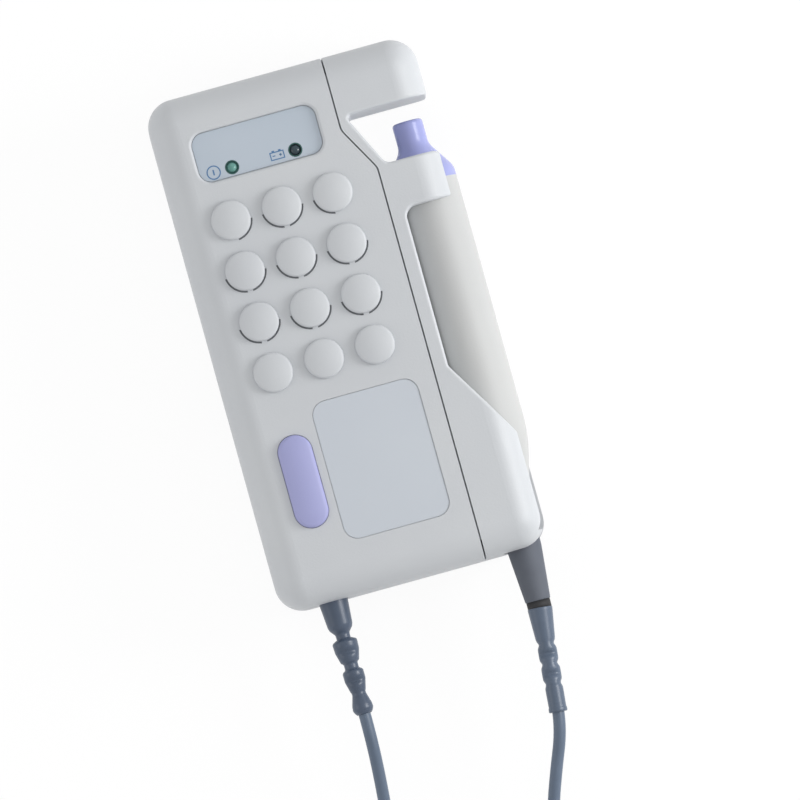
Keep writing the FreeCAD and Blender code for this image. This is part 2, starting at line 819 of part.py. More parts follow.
def draw_slot(sketch, column, row, side):
    """A quarter ring outside one dome, cut short by the ribs at its two ends."""
    x = size_of(f"grille_x + dome_pitch * {column}")
    y = size_of(f"grille_y - dome_row_pitch * {row}")
    inner = size_of("dome_diameter / 2")
    outer = inner + size_of("slot_width")
    half_rib = size_of("slot_rib / 2")
    ends = []
    for radius in (inner, outer):
        along = math.sqrt(radius**2 - half_rib**2)
        near_x = V(x + side * along, y - half_rib, 0)
        near_y = V(x + side * half_rib, y - along, 0)
        middle = V(x + side * radius * math.sqrt(0.5), y - radius * math.sqrt(0.5), 0)
        ends.append((near_x, middle, near_y))
    sketch.addGeometry(Part.Arc(*ends[0]))
    sketch.addGeometry(Part.Arc(*ends[1]))
    sketch.addGeometry(Part.LineSegment(ends[0][0], ends[1][0]))
    sketch.addGeometry(Part.LineSegment(ends[0][2], ends[1][2]))


def rear_case():
    body = new_body("rear_case")
    case_form(body)
    bay_openings(body)
    pocket(body, left_of_seam("seam_gap / 2"), "case_depth", "wall")
    pocket(body, left_of_seam("-seam_ledge"), "front_inner", "front_inner - split_height")
    end_rabbets(body)
    pocket(body, hollow("wall", "-seam_ledge"), "split_height", "split_height - floor_thick")
    battery_box(body)
    posts = [(x, y, "post_diameter / 2") for x, y in BOARD_SCREWS]
    round_pad(body, posts, "floor_thick", "board_height - floor_thick")
    threads = [(x, y, "board_screw_diameter / 2 + fit / 2") for x, y in BOARD_SCREWS]
    round_pocket(body, threads, "board_height", "board_screw_length")
    bosses = [(x, y, "boss_diameter / 2") for x, y in CASE_SCREWS]
    round_pad(body, bosses, "floor_thick", "boss_joint_height - floor_thick")
    holes = [(x, y, "screw_diameter / 2 + fit / 2") for x, y in CASE_SCREWS]
    round_pocket(body, holes, "0", "boss_joint_height", True)
    sinks = [(x, y, "screw_head / 2 + fit") for x, y in CASE_SCREWS]
    round_pocket(body, sinks, "0", "screw_sink + screw_head_thick", True)
    probe_channel(body)
    cut_side_openings(body, False)


def end_rabbets(body):
    """Room at both ends of the seam for the end walls of the front cover."""
    deep = "(wall + shoulder + fit)"
    for seam_x, end, inward in (
        ("seam_upper_x", "top", f"top - {deep}"),
        ("seam_lower_x", "bottom", f"bottom + {deep}"),
    ):
        outward = f"2 * {end} - ({inward})"
        strip = [
            ("left - wall", outward),
            (f"{seam_x} + seam_gap / 2", outward),
            (f"{seam_x} + seam_gap / 2", inward),
            ("left - wall", inward),
        ]
        pocket(body, strip, "front_inner", "front_inner - split_height")


def battery_box(body):
    """The closed box for the battery and, in the back, the way its door slides in."""
    ends = ("bottom + wall", "box_end_y + box_wall")
    sides = ("box_left_x", "bay_side_x")
    around = [(x, y) for x, y in zip(sides + sides[::-1], (ends[0], ends[0], ends[1], ends[1]))]
    pad(body, around, "floor_thick", "box_top + box_wall - floor_thick")
    sides = ("box_left_x + box_wall", "bay_side_x - box_wall")
    ends = ("battery_low_y - battery_gap", "box_end_y")
    inside = [(x, y) for x, y in zip(sides + sides[::-1], (ends[0], ends[0], ends[1], ends[1]))]
    pocket(body, inside, "0", "box_top", True)
    for wider, base, height in (
        ("0", "0", "door_thick + door_gap"),
        ("tongue_width", "tongue_base - door_gap", "door_thick - tongue_base + 2 * door_gap"),
    ):
        half = f"(door_width / 2 + door_gap + {wider})"
        way = [
            (f"battery_x - {half}", "bottom - wall"),
            (f"battery_x + {half}", "bottom - wall"),
            (f"battery_x + {half}", "door_end_y + door_gap"),
            (f"battery_x - {half}", "door_end_y + door_gap"),
        ]
        pocket(body, way, base, height, True)


def bay_openings(body):
    """The notch below the cap and the window over the probe, their front edges softly rounded."""
    notch = [
        (BAY_EDGE, "cap_y"),
        ("right - notch_upper_inset", "cap_y", "notch_round / 2"),
        ("right - notch_lower_inset", "collar_top_y", "notch_round"),
        ("right + fit", "collar_top_y", "collar_round"),
        ("right + fit", "collar_top_y - 2 * collar_round"),
        (BAY_EDGE, "collar_top_y - 2 * collar_round"),
    ]
    pocket(body, notch, "case_depth", through=True)
    slant = "(pocket_slant_length / window_inset)"
    window = [
        (BAY_EDGE, "window_top_y"),
        ("right - window_inset", "window_top_y", "window_round"),
        ("right - window_inset", "pocket_y", "pocket_round"),
        (BAY_EDGE, f"pocket_y - {slant} * ({BAY_EDGE} - right + window_inset)"),
    ]
    pocket(body, window, "case_depth", "case_depth - probe_height")
    eased(body, "edge_ease", inside_rim)


def inside_rim(edge):
    """Picks the edges that lie in the flat of the front, clear of its rounded rim."""
    middle = edge.valueAt((edge.FirstParameter + edge.LastParameter) / 2)
    clear_x = size_of("right - front_round - fit")
    clear_y = size_of("top - front_round - fit")
    return level("case_depth")(edge) and abs(middle.x) < clear_x and abs(middle.y) < clear_y


def probe_channel(body):
    """The round channel that the probe clips into from the side, and the narrow way out for its tail."""
    for radius, start, stop in (
        ("channel_radius", "collar_top_y", "bottom + tail_wall"),
        ("tail_slot_diameter / 2", "0", "bottom - wall"),
    ):
        length = f"{start} - ({stop})"
        round_pocket(body, [("probe_x", "probe_height", radius)], f"-({start})", length, True, "XZ")
        mouth = [
            ("probe_x", f"probe_height - {radius}"),
            (BAY_EDGE, f"probe_height - {radius}"),
            (BAY_EDGE, f"probe_height + {radius}"),
            ("probe_x", f"probe_height + {radius}"),
        ]
        pocket(body, mouth, f"-({start})", length, True, "XZ")


# Front trim


def indicator_panel():
    body = new_body("indicator_panel")
    width = "panel_width - 2 * fit"
    height = "panel_height - 2 * fit"
    pad(body, box_corners("0", "0", width, height, "panel_round - fit"), "0", "panel_thick")
    hole = "lamp_diameter / 2 + fit"
    holes = [(f"{x} - panel_x", "lamp_y - panel_y", hole) for x in LAMPS.values()]
    round_pocket(body, holes, "panel_thick", "2 * panel_thick")
    place(body, "panel_x", "panel_y", "panel_floor")


def label_plate():
    body = new_body("label_plate")
    width = "label_width - 2 * fit"
    height = "label_height - 2 * fit"
    pad(body, box_corners("0", "0", width, height, "label_round - fit"), "0", "label_thick")
    place(body, "label_x", "label_y", "label_floor")


def lamp(label, x):
    """A round lamp on two long legs that stand on the circuit board."""
    body = new_body(label)
    radius = "lamp_diameter / 2"
    turned(
        body,
        [
            ("0", "lamp_low"),
            (f"{radius} + lamp_flange", "lamp_low"),
            (f"{radius} + lamp_flange", "lamp_low + 2 * lamp_flange"),
            (radius, "lamp_low + 2 * lamp_flange"),
            (radius, "lamp_top", f"{radius} - fit"),
            ("0", "lamp_top"),
        ],
    )
    for side in ("-", "+"):
        leg = box_corners(f"{side}lamp_lead_pitch / 2", "0", "lamp_lead", "lamp_lead")
        pad(body, leg, "board_top_z", "lamp_low - board_top_z")
    place(body, x, "lamp_y")


# Power button and switch


def power_button():
    body = new_body("power_button")
    pill = box_corners("0", "0", "button_width", "button_height", pill_round("button_width"))
    pad(body, pill, "front_inner - button_flange_thick", "wall + button_flange_thick + button_rise")
    eased(body, "button_crown", level("case_depth + button_rise"))
    wide = "button_width + 2 * button_flange"
    tall = "button_height + 2 * button_flange"
    pad(
        body,
        box_corners("0", "0", wide, tall, pill_round(wide)),
        "front_inner - button_flange_thick",
        "button_flange_thick",
    )
    length = "front_inner - button_flange_thick - plunger_top"
    round_pad(body, [("0", "0", "stem_diameter / 2")], "plunger_top", length)
    place(body, "button_x", "button_y")


def power_switch():
    body = new_body("power_switch")
    pad(body, box_corners("0", "0", "switch_size", "switch_size"), "board_top_z", "switch_height")
    bore = ("0", "0", "plunger_diameter / 2 + fit")
    round_pocket(body, [bore], "switch_top", "plunger_depth + button_travel + fit")
    place(body, "button_x", "button_y")


def switch_plunger():
    body = new_body("switch_plunger")
    disc = [("0", "0", "plunger_diameter / 2")]
    round_pad(body, disc, "switch_top - plunger_depth", "plunger_depth + plunger_rise")
    place(body, "button_x", "button_y")


# Circuit board


def circuit_board():
    body = new_body("circuit_board")
    pad(
        body,
        [
            ("board_left_x", "board_low_y"),
            ("board_leg_x", "board_low_y"),
            ("board_leg_x", "board_step_y"),
            ("board_right_x", "board_step_y"),
            ("board_right_x", "board_top_y"),
            ("board_left_x", "board_top_y"),
        ],
        "board_height",
        "board_thick",
    )
    holes = [(x, y, "board_screw_diameter / 2 + fit / 2") for x, y in BOARD_SCREWS]
    round_pocket(body, holes, "board_top_z", "2 * board_thick")


def board_chips():
    """The main chips, flat on the board."""
    body = new_body("board_chips")
    for x, y, width, height in CHIPS:
        pad(body, box_corners(x, y, width, height), "board_top_z", "chip_thick")


def board_capacitors():
    body = new_body("board_capacitors")
    cans = [(x, y, "capacitor_diameter / 2") for x, y in CAPACITORS]
    round_pad(body, cans, "board_top_z", "capacitor_height")


def screws(label, spots, seat, head, head_thick, diameter, length, up):
    """Screws with a cross recess in each round head. up says which way the shanks point from the seat."""
    body = new_body(label)
    round_pad(body, [(x, y, f"{head} / 2") for x, y in spots], seat, head_thick, not up)
    round_pad(body, [(x, y, f"{diameter} / 2") for x, y in spots], seat, length, up)
    face = f"{seat} - {head_thick}" if up else f"{seat} + {head_thick}"
    long, narrow = f"{head} * cross_length", f"{head} * cross_width"
    for width, height in ((long, narrow), (narrow, long)):
        sketch = new_sketch(body, "XY", face)
        for x, y in spots:
            draw_loop(sketch, box_corners(x, y, width, height))
        feature(body, "Pocket", sketch, f"{head_thick} / 2", up)


# Loudspeaker


def speaker_frame():
    body = new_body("speaker_frame")
    turned(
        body,
        [
            ("voice_coil_diameter / 2", "basket_low"),
            ("speaker_base_diameter / 2", "basket_low"),
            ("speaker_diameter / 2 - speaker_flange + speaker_steel", "flange_low"),
            ("speaker_diameter / 2", "flange_low"),
            ("speaker_diameter / 2", "flange_top"),
            ("speaker_diameter / 2 - speaker_flange", "flange_top"),
            ("speaker_diameter / 2 - speaker_flange", "flange_low"),
            ("speaker_base_diameter / 2 - speaker_steel", "basket_low + speaker_steel"),
            ("voice_coil_diameter / 2", "basket_low + speaker_steel"),
        ],
    )
    place(body, "speaker_x", "speaker_y")


def speaker_magnet():
    body = new_body("speaker_magnet")
    turned(
        body,
        [
            ("0", "basket_low - magnet_thick"),
            ("speaker_base_diameter / 2", "basket_low - magnet_thick"),
            ("speaker_base_diameter / 2", "basket_low"),
            ("0", "basket_low"),
        ],
    )
    place(body, "speaker_x", "speaker_y")


def speaker_cone():
    """The paper cone with its dust cap, standing on the voice coil."""
    body = new_body("speaker_cone")
    rim = "speaker_diameter / 2 - speaker_flange - surround_width"
    coil = "voice_coil_diameter / 2"
    neck = "basket_low + cone_neck"
    turned(
        body,
        [
            (f"{coil} - 2 * cone_thick", "basket_low"),
            (f"{coil} - cone_thick", "basket_low"),
            (f"{coil} - cone_thick", neck),
            (rim, "flange_low - cone_thick"),
            (rim, "flange_low"),
            (f"{coil} - cone_thick", f"{neck} + 2 * cone_thick"),
            ("0", f"{neck} + dust_cap_rise + cone_thick"),
            ("0", f"{neck} + dust_cap_rise"),
            (f"{coil} - 2 * cone_thick", neck),
        ],
    )
    place(body, "speaker_x", "speaker_y")


def speaker_surround():
    """The soft ring that hangs the cone in the frame."""
    body = new_body("speaker_surround")
    rim = "speaker_diameter / 2 - speaker_flange"
    turned(
        body,
        [
            (f"{rim} - surround_width + fit / 3", "flange_low - cone_thick"),
            (f"{rim} - fit / 3", "flange_low"),
            (f"{rim} - fit / 3", "flange_low + cone_thick"),
            (f"{rim} - surround_width / 2", "flange_low + 2 * cone_thick"),
            (f"{rim} - surround_width + fit / 3", "flange_low"),
        ],
    )
    place(body, "speaker_x", "speaker_y")


def speaker_gasket():
    body = new_body("speaker_gasket")
    outer = "speaker_diameter / 2"
    ring = [("0", "0", outer), ("0", "0", f"{outer} - speaker_flange")]
    round_pad(body, ring, "flange_top", "gasket_thick")
    place(body, "speaker_x", "speaker_y")


# Battery


def battery():
    body = new_body("battery")
    body_length = "(battery_length - terminal_length)"
    block = box_corners("0", f"{body_length} / 2", "battery_width", body_length, "battery_round")
    pad(body, block, "0", "battery_thick")
    place(body, "battery_x", "battery_low_y", "battery_low")


def battery_terminals():
    """The two snap studs on the end of the battery."""
    body = new_body("battery_terminals")
    middle = "battery_low + battery_thick / 2"
    studs = [
        (f"battery_x {side} terminal_pitch / 2", middle, "terminal_diameter / 2") for side in ("-", "+")
    ]
    round_pad(body, studs, "-(battery_top_y)", "terminal_length", False, "XZ")


def battery_contacts():
    """Two sprung metal plates on the end wall of the battery box."""
    body = new_body("battery_contacts")
    middle = "battery_low + battery_thick / 2"
    for side in ("-", "+"):
        x = f"battery_x {side} terminal_pitch / 2"
        plate = box_corners(x, middle, "contact_width", "contact_height")
        pad(body, plate, "-(box_end_y)", "contact_thick", True, "XZ")


def battery_cover():
    """The sliding door in the back. Its outer end carries the rounded edge of the case."""
    body = new_body("battery_cover")
    case_form(body)
    everything = box_corners("0", "0", "2 * case_width", "2 * case_length")
    pocket(body, everything, "door_thick", "case_depth", True)
    sketch = new_sketch(body, "XY", "0")
    draw_loop(sketch, everything)
    plate = [
        ("battery_x - door_width / 2", "bottom - wall"),
        ("battery_x + door_width / 2", "bottom - wall"),
        ("battery_x + door_width / 2", "door_end_y"),
        ("battery_x - door_width / 2", "door_end_y"),
    ]
    draw_loop(sketch, plate)
    feature(body, "Pocket", sketch, "case_depth", True)
    for side in ("-", "+"):
        tongue = [
            (f"battery_x {side} door_width / 2", "bottom + back_round + wall"),
            (f"battery_x {side} (door_width / 2 + tongue_width)", "bottom + back_round + wall"),
            (f"battery_x {side} (door_width / 2 + tongue_width)", "door_end_y"),
            (f"battery_x {side} door_width / 2", "door_end_y"),
        ]
        pad(body, tongue, "tongue_base", "door_thick - tongue_base")
    groove_y = "bottom + back_round + 2 * wall"
    groove = box_corners("battery_x", groove_y, "grip_length", "grip_width")
    cut = pocket(body, groove, "0", "grip_depth", True)
    pattern = body.newObject("PartDesign::LinearPattern", "grip")
    pattern.Originals = [cut]
    origin = {item.Role: item for item in body.Origin.OriginFeatures}
    pattern.Direction = (origin["Y_Axis"], [""])
    bind(pattern, "Length", "grip_pitch * (grip_count - 1)")
    bind(pattern, "Occurrences", "grip_count")
    body.Tip = pattern


# Volume wheel


def volume_wheel():
    body = new_body("volume_wheel")
    radius = "wheel_diameter / 2"
    base = "board_top_z + pot_height"
    turned(
        body,
        [
            ("0", f"{base} - wheel_shaft_depth"),
            ("wheel_shaft / 2", f"{base} - wheel_shaft_depth"),
            ("wheel_shaft / 2", f"{base} + fit"),
            ("wheel_boss / 2", f"{base} + fit"),
            ("wheel_boss / 2", "wheel_low"),
            (radius, "wheel_low"),
            (radius, "wheel_high"),
            ("wheel_boss / 2", "wheel_high"),
            ("wheel_boss / 2", "wheel_high - wheel_screw_thick"),
            ("0", "wheel_high - wheel_screw_thick"),
        ],
    )
    notch = round_pocket(body, [(radius, "0", "wheel_notch / 2")], "wheel_high", "wheel_thick")
    pattern = body.newObject("PartDesign::PolarPattern", "notches")
    pattern.Originals = [notch]
    origin = {item.Role: item for item in body.Origin.OriginFeatures}
    pattern.Axis = (origin["Z_Axis"], [""])
    pattern.Angle = 360
    bind(pattern, "Occurrences", "wheel_notches")
    body.Tip = pattern
    place(body, "wheel_x", "wheel_y")


def wheel_screw():
    body = new_body("wheel_screw")
    head = [("0", "0", "wheel_boss / 2 - 2 * fit")]
    round_pad(body, head, "wheel_high - wheel_screw_thick", "wheel_screw_thick - fit")
    place(body, "wheel_x", "wheel_y")


def volume_pot():
    body = new_body("volume_pot")
    pad(body, box_corners("0", "0", "pot_size", "pot_size"), "board_top_z", "pot_height")
    bore = ("0", "0", "wheel_shaft / 2 + fit")
    round_pocket(body, [bore], "board_top_z + pot_height", "pot_height")
    place(body, "wheel_x", "wheel_y")


# Probe


def probe_body(label):
    body = new_body(label)
    place(body, "probe_x", "0", "probe_height")
    return body


def probe_shell():
    body = probe_body("probe_shell")
    tail = "shell_tail_diameter / 2"
    turned(
        body,
        [
            ("shell_bore", "nose_base_y"),
            ("probe_radius", "nose_base_y"),
            ("probe_radius", "shell_taper_y", "shell_shoulder_round"),
            (tail, "shell_end_y + shell_tail_length", "shell_tail_round"),
            (tail, "shell_end_y"),
            ("boot_diameter / 2 + 2 * fit", "shell_end_y"),
            ("boot_diameter / 2 + 2 * fit", "shell_end_y + shell_tail_length"),
            ("shell_bore", "shell_taper_y"),
        ],
        "XY",
    )


def probe_nose():
    """The coloured nose: a slim cylinder that flares out to meet the shell, with a spigot inside it."""
    body = probe_body("probe_nose")
    slim = "nose_diameter / 2"
    cell = f"{slim} - nose_wall"
    turned(
        body,
        [
            (cell, "nose_tip_y"),
            (slim, "nose_tip_y", "nose_tip_round"),
            (slim, "nose_neck_y", "nose_flare / 2"),
            ("probe_radius", "nose_neck_y - nose_slope", "nose_flare / 2"),
            ("probe_radius", "nose_base_y"),
            ("shell_bore - fit", "nose_base_y"),
            ("shell_bore - fit", "nose_base_y - nose_spigot"),
            ("shell_bore - fit - nose_wall", "nose_base_y - nose_spigot"),
            ("shell_bore - fit - nose_wall", "nose_base_y"),
            (cell, "nose_neck_y - nose_wall"),
        ],
        "XY",
    )


def probe_lens():
    body = probe_body("probe_lens")
    disc = [("0", "0", "nose_diameter / 2 - nose_wall")]
    round_pad(body, disc, "-(nose_tip_y)", "lens_thick", True, "XZ")


def probe_crystals():
    """Two half-round crystals side by side behind the lens, one sending and one listening."""
    body = probe_body("probe_crystals")
    disc = [("0", "0", "nose_diameter / 2 - nose_wall - fit")]
    round_pad(body, disc, "-(nose_tip_y - lens_thick)", "crystal_thick", True, "XZ")
    gap = box_corners("0", "0", "crystal_gap", "nose_diameter")
    pocket(body, gap, "-(nose_tip_y)", "lens_thick + 2 * crystal_thick", True, "XZ")


def probe_backing():
    body = probe_body("probe_backing")
    disc = [("0", "0", "nose_diameter / 2 - nose_wall - fit / 2")]
    round_pad(body, disc, "-(nose_tip_y - lens_thick - crystal_thick)", "backing_length", True, "XZ")


def probe_board():
    """A small board along the middle of the probe, its long edges against the bore."""
    body = probe_body("probe_board")
    middle = "nose_base_y - nose_spigot - fit - probe_board_length / 2"
    strip = box_corners("0", middle, "2 * shell_bore - 2 * fit", "probe_board_length")
    pad(body, strip, "-probe_board_thick / 2", "probe_board_thick")


def lean_tail(body, lean, pivot_y, at_x, at_y):
    """Leans a tail piece towards -X about a point of its own axis and puts that point in its place."""
    body.Placement = FreeCAD.Placement(V(), FreeCAD.Rotation(Z_AXIS, -size_of(lean)))
    bind(body, "Placement.Rotation.Angle", f"-{lean}")
    bind(body, "Placement.Base.x", f"{at_x} - {pivot_y} * sin({lean})")
    bind(body, "Placement.Base.y", f"{at_y} - {pivot_y} * cos({lean})")


def probe_boot():
    """The dark boot on the tail of the probe, ending in a narrow ring with a socket for the relief's peg."""
    body = probe_body("probe_boot")
    ring = "relief_diameter / 2 - boot_ring_step"
    socket = "peg_diameter / 2 + peg_clearance"
    socket_y = "relief_y + peg_length"
    turned(
        body,
        [
            ("0", "boot_root_y"),
            ("boot_diameter / 2", "boot_root_y", "boot_root_round"),
            ("boot_diameter / 2", "bottom"),
            ("boot_end_diameter / 2", "boot_end_y", "boot_end_round"),
            (ring, "boot_end_y"),
            (ring, "relief_y"),
            (socket, "relief_y"),
            (socket, socket_y),
            ("0", socket_y),
        ],
        "XY",
    )
    lean_tail(body, "boot_lean", "tail_pivot_y", "probe_x", "tail_pivot_y")


def beads(top, count, bead, waist, gap, length, slope, round_off):
    """The half outline of rounded segments one below another, with narrow waists between them."""
    corners = []
    for _ in range(count):
        top = f"{top} - {gap}"
        corners += [
            (waist, top),
            (bead, f"{top} - {slope}", round_off),
            (bead, f"{top} - {length} + {slope}", round_off),
            (waist, f"{top} - {length}"),
        ]
        top = f"{top} - {length}"
    return corners, top


def flex_cuts(body, middles, reach, core, width):
    """Cuts across the segments from the front and the back, so that the relief bends both ways."""
    for middle in middles:
        across = box_corners("0", middle, f"2 * {reach}", width)
        for base, up in ((core, True), (f"-{core}", False)):
            pocket(body, across, base, reach, up)


def probe_relief():
    """The segmented strain relief behind the boot, with a peg in the boot's end."""
    body = probe_body("probe_relief")
    end = "relief_end_diameter / 2"
    bead = "relief_bead_diameter / 2"
    waist = "lead_waist_diameter / 2"
    cone_end = "relief_y - relief_taper"
    segments, below = beads(
        cone_end, 2, bead, waist, "relief_bead_gap", "relief_bead_length", "relief_bead_slope", "relief_round"
    )
    turned(
        body,
        [
            ("0", "relief_y + peg_length"),
            ("peg_diameter / 2", "relief_y + peg_length"),
            ("peg_diameter / 2", "relief_y"),
            ("relief_diameter / 2", "relief_y", "relief_round"),
            ("relief_diameter / 2 - relief_step", cone_end, "relief_round"),
            (waist, cone_end),
            *segments,
            (waist, f"{below} - relief_bead_gap"),
            (end, f"{below} - relief_bead_gap", "relief_round"),
            (end, "relief_end_y"),
            ("0", "relief_end_y"),
        ],
        "XY",
    )
    half = "relief_bead_length / 2"
    middles = [f"{cone_end} - relief_bead_gap - {half}", f"{cone_end} - 2 * relief_bead_gap - 3 * {half}"]
    flex_cuts(body, middles, bead, waist, "flex_cut")
    lean_tail(body, "relief_lean", "relief_y", "boot_tip_x", "boot_tip_y")


# Lead


def lead_boot():
    """The strain relief on the unit's end of the lead, held in the wall of the case by its neck."""
    body = new_body("lead_boot")
    bead = "lead_bead_diameter / 2"
    waist = "lead_waist_diameter / 2"
    body_end = "bottom - lead_boot_body"
    corners = [
        ("0", "bottom + wall + lead_flange_thick"),
        ("lead_flange_diameter / 2", "bottom + wall + lead_flange_thick"),
        ("lead_flange_diameter / 2", "bottom + wall"),
        ("lead_neck_diameter / 2", "bottom + wall"),
        ("lead_neck_diameter / 2", "bottom"),
        ("lead_boot_diameter / 2", "bottom"),
        ("lead_boot_diameter / 2 - lead_boot_taper", f"{body_end} + lead_boot_shoulder", "lead_boot_round"),
        (waist, body_end),
    ]
    segments, below = beads(
        body_end, 2, bead, waist, "lead_bead_gap", "lead_bead_length", "lead_bead_slope", "lead_bead_round"
    )
    flare = f"{below} - lead_bead_gap / 2"
    corners += [
        *segments,
        (waist, flare),
        ("lead_end_diameter / 2", f"{flare} - lead_flare_length", "lead_flare_round"),
        ("lead_end_diameter / 2", "lead_boot_end_y"),
        ("0", "lead_boot_end_y"),
    ]
    turned(body, corners, "XY")
    half = "lead_bead_length / 2"
    middles = [f"{body_end} - lead_bead_gap - {half}", f"{body_end} - 2 * lead_bead_gap - 3 * {half}"]
    flex_cuts(body, middles, bead, waist, "flex_cut")
    place(body, "lead_x", "0", "split_height")


def cord_path(points):
    """Straight runs through the points, joined by arcs as large as the shorter run allows."""
    edges, radii = [], []
    here = points[0]
    for before, corner, after in zip(points, points[1:], points[2:]):
        half = (before - corner).getAngle(after - corner) / 2
        shorter = min((before - corner).Length, (after - corner).Length)
        radius = BEND_SHARE * shorter * math.tan(half)
        arc, start, end = corner_arc(before, corner, after, radius)
        edges += [Part.LineSegment(here, start).toShape(), arc.toShape()]
        radii.append(radius)
        here = end
    edges.append(Part.LineSegment(here, points[-1]).toShape())
    return edges, radii


def tube(label, edges):
    """A round cord swept along a chain of edges, with its volume compared with its length."""
    radius = size_of("lead_diameter / 2")
    wire = Part.Wire(edges)
    first = edges[0]
    start = first.valueAt(first.FirstParameter)
    ring = Part.Wire([Part.Circle(start, first.tangentAt(first.FirstParameter), radius).toShape()])
    shape = wire.makePipeShell([ring], True, False)
    expected = math.pi * radius**2 * wire.Length
    share = shape.Volume / expected
    print(f"{label}: length {wire.Length:.1f} mm, volume {share:.4f} of its section times length")
    return new_solid(label, shape)


def half_turn(centre, radius, start_angle):
    """A flat half turn, anticlockwise from start_angle."""
    spots = [start_angle, start_angle + math.pi / 2, start_angle + math.pi]
    return Part.Arc(*(centre + V(math.cos(a), math.sin(a), 0) * radius for a in spots)).toShape()


def quarter_pair(start, start_way, end, end_way):
    """Two tangent arcs that climb from start to end while they turn through half a turn."""
    span = end - start
    reach = span.Length / 2
    first, last = start + start_way * reach, end - end_way * reach
    joint = (first + last) * 0.5
    arcs = []
    for a, corner, b in ((start, first, joint), (joint, last, end)):
        half = (a - corner).getAngle(b - corner) / 2
        arcs.append(corner_arc(a, corner, b, reach * math.tan(half))[0].toShape())
    return arcs


def coil_edges(centre_x, centre_y, low):
    """Two layers of turns: in along the floor, up at the middle, and out again on top."""
    step = size_of("coil_pitch / 2")
    turns = int(size_of("coil_half_turns"))
    radius = size_of("coil_outer_radius")
    tail = size_of("lead_diameter")
    spot = V(centre_x - radius, centre_y, low)
    edges = [Part.LineSegment(spot + V(0, tail, 0), spot).toShape()]
    angle = math.pi
    for _ in range(turns):
        way = V(math.cos(angle), math.sin(angle), 0)
        edges.append(half_turn(spot - way * radius, radius, angle))
        spot = spot - way * (2 * radius)
        radius -= step
        angle += math.pi
    way = V(math.cos(angle), math.sin(angle), 0)
    ahead = V(-math.sin(angle), math.cos(angle), 0)
    risen = spot - way * (2 * radius) + V(0, 0, size_of("coil_pitch"))
    edges += quarter_pair(spot, ahead, risen, -ahead)
    spot = risen
    angle += math.pi
    for _ in range(turns):
        radius += step
        way = V(math.cos(angle), math.sin(angle), 0)
        edges.append(half_turn(spot - way * radius, radius, angle))
        spot = spot - way * (2 * radius)
        angle += math.pi
    edges.append(Part.LineSegment(spot, spot + V(0, tail, 0)).toShape())
    return edges


def least_gap(edges, spacing=1.5):
    """The least clear distance between two stretches of a wound cord, measured on points."""
    points, along = [], []
    travelled = 0.0
    for edge in edges:
        for point in edge.discretize(max(2, int(edge.Length / spacing)))[:-1]:
            if points:
                travelled += (point - points[-1]).Length
            points.append(point)
            along.append(travelled)
    apart = 6 * size_of("lead_diameter")
    nearest = min(
        (points[i] - points[j]).Length
        for i in range(len(points))
        for j in range(i + 1, len(points))
        if along[j] - along[i] > apart
    )
    return nearest - size_of("lead_diameter")


# Where the coil of spare lead lies, from the unit's end of the lead and the bottom of the case
COIL_X = "(lead_x + 13.9)"
COIL_Y = "(bottom - 102)"

# Points that each end of the lead passes, first from the place where it leaves, then from the coil's own end
UNIT_FIRST = [(0, -6.6, 0), (-0.6, -18, -3.9), (-1.7, -30, -8.5)]
UNIT_LAST = [(6.8, 25.7, 0.5), (1.8, 14.7, 0.1), (0, 6.7, 0)]
PROBE_FIRST = [(-0.45, -4.4, 0), (-4.9, -15.3, -2.2), (-8.6, -25.6, -5)]
PROBE_LAST = [(-2.3, 17.5, 0.7), (0, 7, 0)]


def lead():
    """The lead from the unit to the probe: a free run at each end and a coil of spare length."""
    low = size_of("lead_diameter / 2 + tie_thick + fit / 3")
    coil = coil_edges(size_of(COIL_X), size_of(COIL_Y), low)
    print(f"lead_coil: least gap to itself {least_gap(coil):.2f} mm")
    coil_start = coil[0].valueAt(coil[0].FirstParameter)
    coil_end = coil[-1].valueAt(coil[-1].LastParameter)
    lean = math.radians(size_of("relief_lean"))
    boot_tip = V(size_of("boot_tip_x"), size_of("boot_tip_y"), size_of("probe_height"))
    probe_exit = boot_tip + V(-math.sin(lean), -math.cos(lean), 0) * size_of("relief_length")
    unit_exit = V(size_of("lead_x"), size_of("lead_boot_end_y"), size_of("split_height"))
    gap = size_of("lead_gap")
    for label, leaves, first, last, end in (
        ("lead_unit_run", unit_exit, UNIT_FIRST, UNIT_LAST, coil_start),
        ("lead_probe_run", probe_exit, PROBE_FIRST, PROBE_LAST, coil_end),
    ):
        points = [leaves + V(*step) for step in first] + [end + V(*step) for step in last]
        begins = leaves + (points[0] - leaves).normalize() * gap
        ends = end + (points[-1] - end).normalize() * gap
        edges, radii = cord_path([begins, *points, ends])
        print(label, "leaves at", leaves, "radii", [round(radius, 1) for radius in radii])
        tube(label, edges)
    tube("lead_coil", coil)
    lead_tie()


def lead_tie():
    """A flat strap round the two layers of the coil, on the side away from the unit."""
    body = new_body("lead_tie")
    outer = size_of("coil_outer_radius + lead_diameter / 2 + tie_gap")
    inner = size_of("coil_outer_radius - coil_pitch * coil_half_turns / 2 - lead_diameter / 2 - tie_gap")
    middle_y = f"{COIL_Y} - {(outer + inner) / 2}"
    width = outer - inner
    height = "lead_diameter + coil_pitch + 2 * tie_gap"
    for grow, kind in (("2 * tie_thick", "Pad"), ("0", "Pocket")):
        sketch = new_sketch(body, "YZ", f"{COIL_X} + coil_pitch / 2 - tie_width / 2")
        corners = box_corners(
            middle_y,
            f"tie_thick + ({height}) / 2",
            f"{width} + {grow}",
            f"{height} + {grow}",
            f"tie_round + {grow} / 2",
        )
        draw_loop(sketch, corners)
        feature(body, kind, sketch, "tie_width", True)


